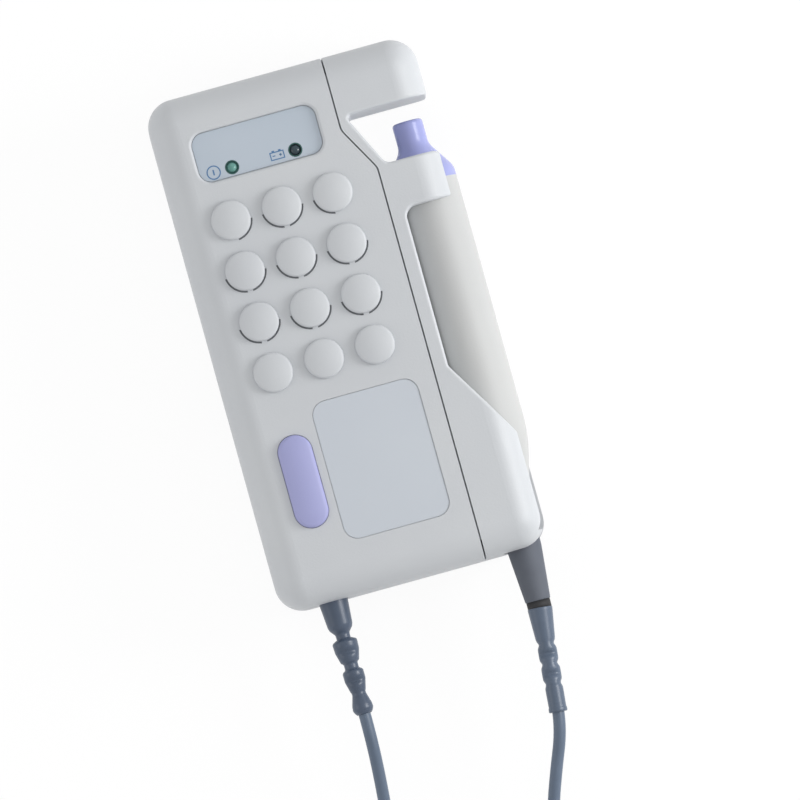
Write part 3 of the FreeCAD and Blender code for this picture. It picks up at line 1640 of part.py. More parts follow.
def build():
    front_cover()
    rear_case()
    indicator_panel()
    label_plate()
    for label, x in LAMPS.items():
        lamp(label, x)
    power_button()
    power_switch()
    switch_plunger()
    circuit_board()
    board_chips()
    board_capacitors()
    screws(
        "board_screws", BOARD_SCREWS, "board_top_z", "board_screw_head", "board_screw_head_thick",
        "board_screw_diameter", "board_thick + board_screw_length - board_screw_slack", False,
    )
    screws(
        "case_screws", CASE_SCREWS, "screw_sink + screw_head_thick", "screw_head", "screw_head_thick",
        "screw_diameter", "screw_length", True,
    )
    speaker_frame()
    speaker_magnet()
    speaker_cone()
    speaker_surround()
    speaker_gasket()
    battery()
    battery_terminals()
    battery_contacts()
    battery_cover()
    volume_wheel()
    wheel_screw()
    volume_pot()
    probe_shell()
    probe_nose()
    probe_lens()
    probe_crystals()
    probe_backing()
    probe_board()
    probe_boot()
    probe_relief()
    lead_boot()
    lead()


def check_and_write():
    doc.recompute()
    for item in doc.Objects:
        if {"Invalid", "Error"} & set(item.State):
            raise RuntimeError(f"{item.Name} ({item.Label}) failed: {item.State}")
    for part in parts:
        if part.Shape.isNull() or not part.Shape.isValid():
            raise RuntimeError(f"{part.Label} has no valid shape")
    os.makedirs("parts", exist_ok=True)
    for part in parts:
        part.Shape.exportStep(os.path.join("parts", part.Label + ".step"))
        print(f"{part.Label}: {len(part.Shape.Solids)} solids, {part.Shape.Volume:.0f} mm3")


build()
check_and_write()
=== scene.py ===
import json
import math
from itertools import product

import bmesh
import bpy
from mathutils import Matrix, Vector


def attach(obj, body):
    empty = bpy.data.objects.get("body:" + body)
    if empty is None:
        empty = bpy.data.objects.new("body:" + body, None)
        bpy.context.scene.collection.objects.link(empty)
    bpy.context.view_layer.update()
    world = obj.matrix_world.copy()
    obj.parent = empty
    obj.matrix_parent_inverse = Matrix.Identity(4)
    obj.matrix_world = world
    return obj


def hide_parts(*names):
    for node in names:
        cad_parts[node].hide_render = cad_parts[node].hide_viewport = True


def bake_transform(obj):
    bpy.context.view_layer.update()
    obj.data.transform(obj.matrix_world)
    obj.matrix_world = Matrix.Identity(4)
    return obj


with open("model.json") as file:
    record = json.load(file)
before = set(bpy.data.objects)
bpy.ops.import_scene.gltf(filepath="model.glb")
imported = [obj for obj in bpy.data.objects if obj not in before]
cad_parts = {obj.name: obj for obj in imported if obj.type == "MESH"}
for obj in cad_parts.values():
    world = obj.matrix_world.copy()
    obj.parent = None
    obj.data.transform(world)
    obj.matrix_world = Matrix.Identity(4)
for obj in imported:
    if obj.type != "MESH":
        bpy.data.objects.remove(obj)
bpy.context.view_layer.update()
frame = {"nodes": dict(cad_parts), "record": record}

NODES = frame["nodes"]
MM = 0.001
WELD = 0.002 * MM
WHITE = (1, 1, 1, 1)


# Objects and meshes


def add_object(name, data):
    """A new object in the scene, at the origin."""
    made = bpy.data.objects.new(name, data)
    bpy.context.scene.collection.objects.link(made)
    return made


def to_mesh(obj):
    """The evaluated shape of an object as a plain mesh."""
    bpy.context.view_layer.update()
    graph = bpy.context.evaluated_depsgraph_get()
    return bpy.data.meshes.new_from_object(obj.evaluated_get(graph), depsgraph=graph)


def close_shape(shape, name):
    """Merges the doubles of a drawn shape, turns its faces outwards and gives it as a mesh."""
    bmesh.ops.remove_doubles(shape, verts=shape.verts, dist=WELD)
    bmesh.ops.recalc_face_normals(shape, faces=shape.faces)
    mesh = bpy.data.meshes.new(name)
    shape.to_mesh(mesh)
    shape.free()
    return mesh


def add_piece(shape, name, material, body="case"):
    """Makes a piece that moves with a body from a drawn shape."""
    mesh = close_shape(shape, name)
    mesh.materials.append(material)
    piece = add_object(name, mesh)
    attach(piece, body)
    return piece


# Camera, matched to the photograph, in metres, with its sensor in millimetres

FRAME_WIDTH = 0.2122
AIM = Vector((8.3, -23.7, 27.0)) * MM
DISTANCE = 5.0
TILT = math.radians(3.0)
PICTURE_UP = Vector((0.2672, 0.9636, 0.0))
SENSOR = 36.0


def make_camera():
    """Looks down on the front, a little from the lead's end, with the object turned in the picture."""
    data = bpy.data.cameras.new("camera")
    data.sensor_width = SENSOR
    data.lens = SENSOR * DISTANCE / FRAME_WIDTH
    data.clip_end = 2 * DISTANCE
    camera = add_object("camera", data)
    back = -PICTURE_UP * math.sin(TILT) + Vector((0, 0, math.cos(TILT)))
    right = PICTURE_UP.cross(back).normalized()
    up = back.cross(right)
    turn = Matrix((right, up, back)).transposed().to_4x4()
    camera.matrix_world = Matrix.Translation(AIM + back * DISTANCE) @ turn
    bpy.context.scene.camera = camera


# Materials, with their sizes in millimetres

PLASTIC_IOR = 1.5
TINT_RANGE = (0.25, 0.75)
ROUGHNESS_SPREAD = 0.05
WORN_SPOTS_A_PATCH = 4
RESIN_PATCH = 2.0
METAL_PATCH = 3.0
DRAWN_LINE = 0.25
DRAWN_DEPTH = 0.01
DRAWN_STRETCH = (1.0, 0.08, 0.08)
FILM = {"grain_mm": 0.4, "depth_mm": 0.008}
INK = {"roughness": 0.6, "grain_mm": 0.3, "depth_mm": 0.004, "patch_mm": 1.0}
SOFT_PVC = {"grain_mm": 0.45, "depth_mm": 0.02, "patch_mm": 8}
POLISHED_PVC = {"roughness": 0.36, "grain_mm": 0.45, "depth_mm": 0.012, "patch_mm": 8}


def linear(code):
    """A colour written as sRGB hex, in the linear values that the shader takes."""
    shares = [int(code[i : i + 2], 16) / 255 for i in (1, 3, 5)]
    bent = [s / 12.92 if s <= 0.04045 else ((s + 0.055) / 1.055) ** 2.4 for s in shares]
    return (*bent, 1.0)


def add(tree, kind, inputs=None, **settings):
    """Adds one node, sets its properties, and fills its inputs with values or links."""
    made = tree.nodes.new(kind)
    for name, value in settings.items():
        setattr(made, name, value)
    for name, value in (inputs or {}).items():
        if isinstance(value, bpy.types.NodeSocket):
            tree.links.new(value, made.inputs[name])
        else:
            made.inputs[name].default_value = value
    return made


def bare_material(name):
    """A material with an empty tree."""
    material = bpy.data.materials.new(name)
    material.use_nodes = True
    material.node_tree.nodes.clear()
    return material, material.node_tree


def new_material(name):
    """A material with its tree, its shader and the coordinates of its piece."""
    material, tree = bare_material(name)
    shader = add(tree, "ShaderNodeBsdfPrincipled")
    add(tree, "ShaderNodeOutputMaterial", {"Surface": shader.outputs["BSDF"]})
    place = add(tree, "ShaderNodeTexCoord").outputs["Object"]
    return material, tree, shader, place


def tint(tree, place, dark, light, patch_mm):
    """A colour that wanders softly between two close shades."""
    cloud = add(tree, "ShaderNodeTexNoise", {"Vector": place, "Scale": 1 / (patch_mm * MM), "Detail": 3.0})
    ramp = add(tree, "ShaderNodeValToRGB", {"Fac": cloud.outputs["Fac"]})
    for stop, position, code in zip(ramp.color_ramp.elements, TINT_RANGE, (dark, light)):
        stop.position = position
        stop.color = linear(code)
    return ramp.outputs["Color"]


def grain(tree, place, grain_mm, depth_mm):
    """A bump of rounded grains, or of lines where the place is stretched."""
    noise = add(tree, "ShaderNodeTexNoise", {"Vector": place, "Scale": 1 / (grain_mm * MM), "Detail": 2.0})
    bump = add(tree, "ShaderNodeBump", {"Height": noise.outputs["Fac"], "Distance": depth_mm * MM})
    return bump.outputs["Normal"]


def moulded(name, dark, light, roughness, grain_mm=0.55, depth_mm=0.03, patch_mm=30):
    """A moulded plastic: even colour, a satin grain and soft broad highlights.

    The grain that spark erosion leaves in a mould is about 0.1 mm wide, too fine for the picture, so it is
    drawn as coarse as it needs to show.
    """
    material, tree, shader, place = new_material(name)
    tree.links.new(tint(tree, place, dark, light, patch_mm), shader.inputs["Base Color"])
    tree.links.new(grain(tree, place, grain_mm, depth_mm), shader.inputs["Normal"])
    worn = add(
        tree,
        "ShaderNodeTexNoise",
        {"Vector": place, "Scale": WORN_SPOTS_A_PATCH / (patch_mm * MM), "Detail": 4.0},
    )
    rough = add(
        tree,
        "ShaderNodeMapRange",
        {
            "Value": worn.outputs["Fac"],
            "To Min": roughness - ROUGHNESS_SPREAD,
            "To Max": roughness + ROUGHNESS_SPREAD,
        },
    )
    tree.links.new(rough.outputs["Result"], shader.inputs["Roughness"])
    shader.inputs["IOR"].default_value = PLASTIC_IOR
    return material


def cast_resin(name, dark, light, roughness):
    """A smooth tinted resin, with sharp highlights."""
    material, tree, shader, place = new_material(name)
    tree.links.new(tint(tree, place, dark, light, RESIN_PATCH), shader.inputs["Base Color"])
    shader.inputs["Roughness"].default_value = roughness
    shader.inputs["IOR"].default_value = PLASTIC_IOR
    return material


def metal(name, dark, light, roughness):
    """A drawn or plated metal with fine lines along Y and Z."""
    material, tree, shader, place = new_material(name)
    tree.links.new(tint(tree, place, dark, light, METAL_PATCH), shader.inputs["Base Color"])
    stretched = add(tree, "ShaderNodeMapping", {"Vector": place, "Scale": DRAWN_STRETCH})
    lines = grain(tree, stretched.outputs["Vector"], DRAWN_LINE, DRAWN_DEPTH)
    tree.links.new(lines, shader.inputs["Normal"])
    shader.inputs["Metallic"].default_value = 1.0
    shader.inputs["Roughness"].default_value = roughness
    return material


def make_materials():
    """One material for each real one, named for it."""
    return {
        # ABS from a spark eroded mould, pale cool grey: satin, no sharp highlight
        "case_abs": moulded("abs_pale_grey", "#C8CBCF", "#CDD0D3", roughness=0.48),
        # polycarbonate film with a fine matt face, pale blue-grey: smoother than the case
        "panel_film": moulded("polycarbonate_film_blue_grey", "#B7C2CD", "#BCC6D1", roughness=0.34, **FILM),
        # polyester film, slightly bluer than the case and smoother
        "label_film": moulded("polyester_film_grey", "#C6CCD4", "#CAD0D7", roughness=0.36, **FILM),
        # screen inks, blue for the signs and dark green round the lamps: flat and dull
        "panel_ink": moulded("screen_ink_blue", "#4F78A4", "#587FA9", **INK),
        "lamp_ink": moulded("screen_ink_dark_green", "#27534F", "#2D5B57", **INK),
        # moulded silicone of the button, lilac: a soft, dull sheen
        "button_silicone": moulded(
            "silicone_lilac", "#A2A5D2", "#A9ABD8", roughness=0.5, grain_mm=0.5, depth_mm=0.015
        ),
        # cast epoxy of the two lamps, tinted: small sharp highlights
        "lamp_green": cast_resin("epoxy_green", "#568C84", "#76AAA0", roughness=0.18),
        "lamp_dark": cast_resin("epoxy_dark", "#29383F", "#364850", roughness=0.16),
        # glass laminate under a green solder mask: half glossy, slightly uneven
        "board_laminate": moulded(
            "laminate_green", "#2A6440", "#33734B", roughness=0.32, grain_mm=0.8, depth_mm=0.02, patch_mm=6
        ),
        # epoxy moulded round the chips: black and dull
        "chip_epoxy": moulded(
            "chip_epoxy_black", "#19191B", "#222225", roughness=0.55, grain_mm=0.3, depth_mm=0.02
        ),
        # drawn aluminium of the capacitors' cans: bright, with fine lines
        "can_aluminium": metal("drawn_aluminium", "#AEB1B5", "#C3C6CA", roughness=0.34),
        # zinc plated steel of the screws, the switch and the speaker's frame: grey and satin
        "zinc_steel": metal("zinc_plated_steel", "#9C9FA3", "#B4B7BB", roughness=0.36),
        # pressed ferrite of the magnet: nearly black and dull
        "ferrite": moulded("ferrite_dark", "#343436", "#403F41", roughness=0.6, grain_mm=0.5, depth_mm=0.04),
        # pressed paper of the speaker's cone: black and rough, with no highlight
        "cone_paper": moulded(
            "pressed_paper_black", "#232325", "#303032", roughness=0.85, grain_mm=0.9, depth_mm=0.08
        ),
        # woven dust cloth in the grille's slots: dull grey
        "grille_cloth": moulded(
            "woven_polyester_grey",
            "#75787C",
            "#7E8185",
            roughness=0.8,
            grain_mm=0.2,
            depth_mm=0.02,
            patch_mm=2.0,
        ),
        # moulded rubber of the speaker's gasket, the strap and the probe's band: black and dull
        "black_rubber": moulded("soft_rubber_black", "#242426", "#2E2E30", roughness=0.66, grain_mm=0.6),
        # printed steel round the battery: dark and satin
        "battery_jacket": metal("printed_steel_jacket", "#63686F", "#72787F", roughness=0.4),
        # nickel plate of the battery's contacts: warm and bright
        "contact_nickel": metal("nickel_plate", "#B8B7B1", "#CFCEC8", roughness=0.25),
        # ABS of the thumb wheel: a darker grey, satin as the case
        "wheel_abs": moulded("abs_mid_grey", "#868C93", "#90969D", roughness=0.48),
        # moulded nylon of the switch's plunger and the potentiometer: black, half dull
        "switch_plastic": moulded("nylon_black", "#202124", "#2A2B2E", roughness=0.5),
        # ABS of the probe, with a finer grain: a warmer and duller grey than the case
        "probe_abs": moulded(
            "abs_warm_grey", "#BEBFBF", "#C3C4C3", roughness=0.56, grain_mm=0.5, depth_mm=0.02
        ),
        # ABS of the nose from a smooth mould, lilac: a clear highlight
        "nose_abs": moulded("abs_lilac", "#9AA0D4", "#A2A7DA", roughness=0.26, grain_mm=0.5, depth_mm=0.012),
        # cast epoxy of the lens, cream: smooth and glossy
        "lens_epoxy": cast_resin("epoxy_cream", "#CFCABB", "#DAD6C8", roughness=0.22),
        # silvered ceramic of the crystals: yellowish and satin
        "crystal_ceramic": moulded(
            "silvered_ceramic", "#AEA27A", "#BBAF88", roughness=0.4, grain_mm=0.3, depth_mm=0.01
        ),
        # filled epoxy behind the crystals: dark and dull
        "backing_epoxy": moulded("filled_epoxy", "#424244", "#4D4D4F", roughness=0.6),
        # soft PVC of the lead: satin, slightly dusty
        "slate_rubber": moulded("pvc_slate", "#5A687B", "#637184", roughness=0.46, **SOFT_PVC),
        # soft PVC of the probe's boot: darker and dull
        "boot_rubber": moulded("pvc_dark_grey", "#575C66", "#626771", roughness=0.68, **SOFT_PVC),
        # the lead's PVC from polished moulds, for the reliefs: darker, with soft streaks of light
        "slate_gloss": moulded("pvc_slate_polished", "#536072", "#5C697C", **POLISHED_PVC),
        # the same polished PVC again, darker for the unit's relief: painted shade, not a different colour
        "slate_painted_shade": moulded("pvc_slate_polished_painted_shade", "#475365", "#505C6F", **POLISHED_PVC),
    }


def dress_nodes(materials):
    """Gives every solid of the frame the material of its slot."""
    for row in frame["record"]["subparts"]:
        mesh = NODES[row["node"]].data
        mesh.materials.clear()
        mesh.materials.append(materials[row["material_slot"]])


# Lead: its route repeats the points of the solid, in millimetres

LEAD_DIAMETER = 3.3
LEAD_GAP = 0.1
LEAD_ROOT = 1.2
COIL_CENTRE = (-9.0, -172.0)
COIL_LOW = 2.3
COIL_RADIUS = 26.0
COIL_PITCH = 3.9
COIL_HALF_TURNS = 7
COIL_TAIL = Vector((0, 3.3, 0))
POINTS_A_HALF_TURN = 9
WIDEN = 1 / math.cos(math.pi / (2 * POINTS_A_HALF_TURN))
UNIT_EXIT = Vector((-22.9, -101.0, 13.5))
PROBE_EXIT = Vector((26.877, -114.221, 13.5))
UNIT_FIRST = [(0, -6.6, 0), (-0.6, -18, -3.9), (-1.7, -30, -8.5)]
UNIT_LAST = [(6.8, 25.7, 0.5), (1.8, 14.7, 0.1), (0, 6.7, 0)]
PROBE_FIRST = [(-0.45, -4.4, 0), (-4.9, -15.3, -2.2), (-8.6, -25.6, -5)]
PROBE_LAST = [(-2.3, 17.5, 0.7), (0, 7, 0)]


def coil_points():
    """The turns of the coil: in along the floor, up at the middle, and out again on top."""
    step = COIL_PITCH / 2
    spot = Vector((COIL_CENTRE[0] - COIL_RADIUS, COIL_CENTRE[1], COIL_LOW))
    points = [spot + COIL_TAIL]
    angle = math.pi
    radius = COIL_RADIUS
    climbs = [0.0] * COIL_HALF_TURNS + [COIL_PITCH] + [0.0] * COIL_HALF_TURNS
    changes = [-step] * COIL_HALF_TURNS + [step] * (COIL_HALF_TURNS + 1)
    for climb, change in zip(climbs, changes):
        centre = spot - Vector((math.cos(angle), math.sin(angle), 0)) * radius
        for i in range(POINTS_A_HALF_TURN):
            share = (i + 0.5) / POINTS_A_HALF_TURN
            turn = angle + math.pi * share
            way = Vector((math.cos(turn), math.sin(turn), 0)) * radius * WIDEN
            points.append(centre + way + Vector((0, 0, climb * share)))
        angle += math.pi
        spot = centre + Vector((math.cos(angle) * radius, math.sin(angle) * radius, climb))
        radius += change
    points.append(spot + COIL_TAIL)
    return points


def nurbs(name, points, bevel):
    """One smooth open curve with the points as its control points, in millimetres."""
    data = bpy.data.curves.new(name, "CURVE")
    data.dimensions = "3D"
    spline = data.splines.new("NURBS")
    spline.points.add(len(points) - 1)
    for knot, point in zip(spline.points, points):
        knot.co = (*(Vector(point) * MM), 1.0)
    spline.order_u = 3
    spline.use_endpoint_u = True
    spline.resolution_u = 6
    data.bevel_depth = bevel * MM
    data.bevel_resolution = 5
    data.use_fill_caps = True
    return add_object(name, data)


def line_of(points):
    """The points that the smooth line of a route passes, in metres, with nothing swept along it."""
    bare = nurbs("bare_line", points, 0)
    mesh = to_mesh(bare)
    line = [v.co.copy() for v in mesh.vertices]
    bpy.data.objects.remove(bare)
    bpy.data.meshes.remove(mesh)
    return line


def length_of(line):
    """The length of a line through points."""
    return sum((b - a).length for a, b in zip(line, line[1:]))


def make_main_lead(coil, material):
    """The lead from the unit to the end of its coil, which lies still."""
    main_points = [UNIT_EXIT + Vector((0, LEAD_ROOT, 0))]
    main_points += [UNIT_EXIT + Vector(step) for step in UNIT_FIRST]
    main_points += [coil[0] + Vector(step) for step in UNIT_LAST]
    main_points += coil
    main = nurbs("lead_main", main_points, LEAD_DIAMETER / 2)
    main.data.materials.append(material)
    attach(main, "case")
    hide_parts("lead_unit_run", "lead_coil")
    length_of(line_of(main_points))


def make_lead_tail(coil, material):
    """The lead from the coil to the probe, as one smooth mesh."""
    out = Vector(PROBE_FIRST[0]).normalized()
    tail_points = [PROBE_EXIT - out * LEAD_ROOT]
    tail_points += [PROBE_EXIT + Vector(step) for step in PROBE_FIRST]
    tail_points += [coil[-1] + Vector(step) for step in PROBE_LAST]
    tail_points.append(coil[-1] + Vector((0, LEAD_GAP, 0)))
    tail_points.reverse()
    curve = nurbs("lead_tail_line", tail_points, LEAD_DIAMETER / 2)
    tail = add_object("lead_tail", to_mesh(curve))
    bpy.data.objects.remove(curve)
    tail.data.materials.clear()
    tail.data.materials.append(material)
    for face in tail.data.polygons:
        face.use_smooth = True
    line = line_of(tail_points)
    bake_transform(tail)
    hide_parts("lead_probe_run")


# Thin strips and the signs printed on the indicator panel, in millimetres

PANEL_TOP = 26.0
STRIP_THICK = 0.03
TOUCH = 1e-6
POWER_SIGN = (-23.2, 47.8)
POWER_RING_RADIUS = 1.75
POWER_RING_LINE = 0.32
POWER_BAR_HALF = 0.75
POWER_BAR_LINE = 0.4
BATTERY_SIGN = (-5.7, 47.9)
BATTERY_HALF_WIDTH = 1.8
BATTERY_LOW = -1.15
BATTERY_HIGH = 0.8
BATTERY_LINE = 0.3
TERMINAL_ENDS = (1.25, 0.55)
TERMINAL_LEVEL = 1.1
TERMINAL_LINE = 0.4
POLE_OFFSET = 0.9
POLE_LEVEL = -0.15
POLE_HALF = 0.4
POLE_LINE = 0.26
LAMP_SPOTS = ((-18.1, 47.9), (-0.7, 47.9))
LAMP_RING_RADIUS = 1.72
LAMP_RING_LINE = 0.34


def ring_points(centre, radius, start=0.0, sweep=2 * math.pi, count=48):
    """Points along a ring, or along an arc that sweeps on from a starting angle."""
    angles = [start + sweep * i / count for i in range(count + 1)]
    return [(centre[0] + radius * math.cos(a), centre[1] + radius * math.sin(a)) for a in angles]


def thin_strip(shape, points, width, level=PANEL_TOP):
    """A thin strip of one width through points, with mitred corners, that stands on a level.

    Where the last point is the first one, the strip is a closed loop.
    """
    path = [Vector(point) for point in points]
    closed = (path[0] - path[-1]).length < TOUCH
    if closed:
        path.pop()
    rows = []
    for i, point in enumerate(path):
        behind = point - path[i - 1]
        ahead = path[(i + 1) % len(path)] - point
        if not closed and i == 0:
            behind = ahead
        if not closed and i == len(path) - 1:
            ahead = behind
        first, second = (Vector((-way.y, way.x)).normalized() for way in (behind, ahead))
        side = (first + second) / (1 + first.dot(second)) * width / 2
        ends = (point - side, point + side)
        low = [shape.verts.new((*(spot * MM), level * MM)) for spot in ends]
        high = [shape.verts.new((*(spot * MM), (level + STRIP_THICK) * MM)) for spot in ends]
        rows.append((low[0], low[1], high[1], high[0]))
    if closed:
        rows.append(rows[0])
    else:
        shape.faces.new(rows[0])
        shape.faces.new(rows[-1])
    for a, b in zip(rows, rows[1:]):
        for i in range(4):
            j = (i + 1) % 4
            shape.faces.new((a[i], b[i], b[j], a[j]))


def make_signs(materials):
    """A power sign and a battery sign beside their lamps, and a dark ring round each lamp."""
    shape = bmesh.new()
    x, y = POWER_SIGN
    thin_strip(shape, ring_points(POWER_SIGN, POWER_RING_RADIUS), POWER_RING_LINE)
    thin_strip(shape, [(x, y - POWER_BAR_HALF), (x, y + POWER_BAR_HALF)], POWER_BAR_LINE)
    x, y = BATTERY_SIGN
    left, right = x - BATTERY_HALF_WIDTH, x + BATTERY_HALF_WIDTH
    low, high = y + BATTERY_LOW, y + BATTERY_HIGH
    thin_strip(shape, [(left, low), (right, low), (right, high), (left, high), (left, low)], BATTERY_LINE)
    pole = y + POLE_LEVEL
    for side in (-1, 1):
        terminal = [(x + side * end, y + TERMINAL_LEVEL) for end in TERMINAL_ENDS]
        thin_strip(shape, terminal, TERMINAL_LINE)
        middle = x + side * POLE_OFFSET
        thin_strip(shape, [(middle - POLE_HALF, pole), (middle + POLE_HALF, pole)], POLE_LINE)
    plus = x + POLE_OFFSET
    thin_strip(shape, [(plus, pole - POLE_HALF), (plus, pole + POLE_HALF)], POLE_LINE)
    add_piece(shape, "panel_signs", materials["panel_ink"])
    rings = bmesh.new()
    for spot in LAMP_SPOTS:
        thin_strip(rings, ring_points(spot, LAMP_RING_RADIUS), LAMP_RING_LINE)
    add_piece(rings, "lamp_rings", materials["lamp_ink"])


# Crowns of the grille's domes and of the button, and cloth in the sound slots, in millimetres

GRILLE_COUNT = (3, 4)
GRILLE_PITCH = (14.0125, 14.0)
GRILLE_SIZE = [(count - 1) * pitch for count, pitch in zip(GRILLE_COUNT, GRILLE_PITCH)]
GRILLE_MIDDLE = (-8.175, 13.3)
DOME = {"radius": 5.28, "foot": 27.1, "shoulder": 0.8, "level": 27.5, "slope": math.radians(16.0)}
BUTTON = {"radius": 4.63, "foot": 26.6, "shoulder": 1.2, "level": 27.05, "slope": math.radians(15.0)}
BUTTON_MIDDLE = Vector((-22.197, -37.7, 0))
BUTTON_STRAIGHT = 8.0
TURN_STEPS = 48
CROWN_RINGS = 10
SHOULDER_RINGS = 8
RIB_HALF = 0.75
SLOT_RADIUS = 5.505
SLOT_END = math.asin(RIB_HALF / SLOT_RADIUS)
SLOT_STEPS = 14
CLOTH_WIDTH = 0.44
CLOTH_LEVEL = 26.7


def turned(shape, outline, place=Matrix(), straight=0.0):
    """Turns a half outline of radius and height pairs about the local Z axis and sets it in its place.

    With a straight length the two halves of the turned shape are each drawn out by it along local Y.
    """
    angles = [2 * math.pi * (i + 0.5) / TURN_STEPS for i in range(TURN_STEPS)]
    rings = []
    for radius, height in outline:
        spots = [Vector((radius * math.cos(a), radius * math.sin(a), height)) for a in angles]
        for spot, angle in zip(spots, angles):
            spot.y += math.copysign(straight, math.sin(angle))
        rings.append([shape.verts.new((place @ spot) * MM) for spot in spots])
    for a, b in zip(rings, rings[1:]):
        for i in range(TURN_STEPS):
            j = (i + 1) % TURN_STEPS
            shape.faces.new((a[i], a[j], b[j], b[i])).smooth = True


def crown_outline(crown):
    """Half outline of one crown: a shallow arch that runs without a crease into a round shoulder."""
    slope = crown["slope"]
    shoulder = crown["shoulder"]
    middle = crown["radius"] - shoulder
    edge = middle + shoulder * math.sin(slope)
    level = crown["level"] + shoulder * math.cos(slope)
    rise = edge * math.tan(slope) / 2
    outline = []
    for i in range(CROWN_RINGS):
        share = i / CROWN_RINGS
        outline.append((edge * share, level + rise * (1 - share**2)))
    for i in range(SHOULDER_RINGS + 1):
        angle = slope + (math.pi / 2 - slope) * i / SHOULDER_RINGS
        outline.append((middle + shoulder * math.sin(angle), crown["level"] + shoulder * math.cos(angle)))
    return outline + [(crown["radius"], crown["foot"]), (0, crown["foot"])]


def rows_tree():
    """Geometry Nodes that set copies of a shape out in columns and rows about a middle."""
    tree = bpy.data.node_groups.new("columns_and_rows", "GeometryNodeTree")
    inputs = (
        ("Shape", "NodeSocketGeometry"),
        ("Columns", "NodeSocketInt"),
        ("Rows", "NodeSocketInt"),
        ("Width", "NodeSocketFloat"),
        ("Height", "NodeSocketFloat"),
        ("Middle", "NodeSocketVector"),
        ("Finish", "NodeSocketMaterial"),
    )
    keys = {}
    for name, kind in inputs:
        keys[name] = tree.interface.new_socket(name, in_out="INPUT", socket_type=kind).identifier
    tree.interface.new_socket("Shape", in_out="OUTPUT", socket_type="NodeSocketGeometry")
    given = add(tree, "NodeGroupInput").outputs
    grid = add(
        tree,
        "GeometryNodeMeshGrid",
        {
            "Size X": given["Width"],
            "Size Y": given["Height"],
            "Vertices X": given["Columns"],
            "Vertices Y": given["Rows"],
        },
    )
    spots = add(
        tree,
        "GeometryNodeTransform",
        {"Geometry": grid.outputs["Mesh"], "Translation": given["Middle"]},
    )
    copies = add(
        tree,
        "GeometryNodeInstanceOnPoints",
        {"Points": spots.outputs["Geometry"], "Instance": given["Shape"]},
    )
    real = add(tree, "GeometryNodeRealizeInstances", {"Geometry": copies.outputs["Instances"]})
    dressed = add(
        tree,
        "GeometryNodeSetMaterial",
        {"Geometry": real.outputs["Geometry"], "Material": given["Finish"]},
    )
    add(tree, "NodeGroupOutput", {"Shape": dressed.outputs["Geometry"]})
    return tree, keys


def make_crowns(materials):
    """The arched tops of the twelve domes, each a skin that lies close over the solid's dome."""
    shape = bmesh.new()
    turned(shape, crown_outline(DOME))
    one = add_object("one_crown", close_shape(shape, "one_crown"))
    rows = one.modifiers.new("rows", "NODES")
    rows.node_group, keys = rows_tree()
    rows[keys["Columns"]], rows[keys["Rows"]] = GRILLE_COUNT
    rows[keys["Width"]] = GRILLE_SIZE[0] * MM
    rows[keys["Height"]] = GRILLE_SIZE[1] * MM
    rows[keys["Middle"]] = (GRILLE_MIDDLE[0] * MM, GRILLE_MIDDLE[1] * MM, 0)
    rows[keys["Finish"]] = materials["case_abs"]
    crowns = add_object("grille_crowns", to_mesh(one))
    bpy.data.objects.remove(one)
    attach(crowns, "case")


def has_slot(column, row, side):
    """The last row has no slots, and the first row's end domes only those towards the middle."""
    outwards = (column == 0 and side < 0) or (column == GRILLE_COUNT[0] - 1 and side > 0)
    return row < GRILLE_COUNT[1] - 1 and not (row == 0 and outwards)


def make_slot_cloth(materials):
    """Strips of the dust cloth that close the sound slots a little under the front."""
    shape = bmesh.new()
    columns, rows = GRILLE_COUNT
    first_x = GRILLE_MIDDLE[0] - GRILLE_SIZE[0] / 2
    first_y = GRILLE_MIDDLE[1] + GRILLE_SIZE[1] / 2
    for column, row, side in product(range(columns), range(rows), (-1, 1)):
        if has_slot(column, row, side):
            centre = (first_x + GRILLE_PITCH[0] * column, first_y - GRILLE_PITCH[1] * row)
            start = -math.pi / 2 + side * SLOT_END
            sweep = side * (math.pi / 2 - 2 * SLOT_END)
            arc = ring_points(centre, SLOT_RADIUS, start, sweep, SLOT_STEPS)
            thin_strip(shape, arc, CLOTH_WIDTH, CLOTH_LEVEL)
    add_piece(shape, "slot_cloth", materials["grille_cloth"])


def make_button_crown(materials):
    """The arched top of the pill button, a skin that lies close over the solid and travels with it."""
    shape = bmesh.new()
    turned(shape, crown_outline(BUTTON), Matrix.Translation(BUTTON_MIDDLE), straight=BUTTON_STRAIGHT)
    add_piece(shape, "button_crown", materials["button_silicone"], "button")


# Strain reliefs of the lead, with places and radii in millimetres down each axis

RELIEFS = (
    {
        "name": "probe_lead_relief",
        "stands_for": "probe_relief",
        "body": "probe",
        "finish": "slate_gloss",
        "top": Vector((29.531, -86.146, 13.5)),
        "axis": Vector((-0.0941, -0.9956, 0)),
        "outline": (
            (0.0, 3.15),
            (0.3, 3.35),
            (9.2, 2.55),
            (20.6, 2.55),
            (21.2, 2.42),
            (26.9, 2.35),
            (27.2, 2.5),
            (28.0, 2.5),
            (28.2, 2.38),
        ),
        "side_cuts": (9.9, 15.2, 20.5),
        "face_cuts": (12.5, 17.9),
    },
    {
        "name": "unit_lead_relief",
        "stands_for": "lead_boot",
        "body": "case",
        # a darker copy of the relief's PVC: painted shade
        "finish": "slate_painted_shade",
        "top": Vector((-22.9, -70.0, 13.5)),
        "axis": Vector((0, -1, 0)),
        "outline": (
            (-0.3, 3.95),
            (6.6, 3.4),
            (7.5, 3.1),
            (8.9, 1.95),
            (10.3, 1.9),
            (10.7, 3.0),
            (11.2, 3.4),
            (13.6, 3.3),
            (16.6, 2.5),
            (17.0, 1.9),
            (18.6, 1.9),
            (19.0, 2.6),
            (19.4, 2.85),
            (21.6, 2.85),
            (24.6, 2.1),
            (25.0, 1.9),
            (25.6, 1.9),
            (28.4, 2.7),
            (29.6, 2.8),
            (30.5, 2.4),
            (31.0, 1.95),
        ),
        "side_cuts": (),
        "face_cuts": (13.9, 21.8),
    },
)
RELIEF_RINGS = 104
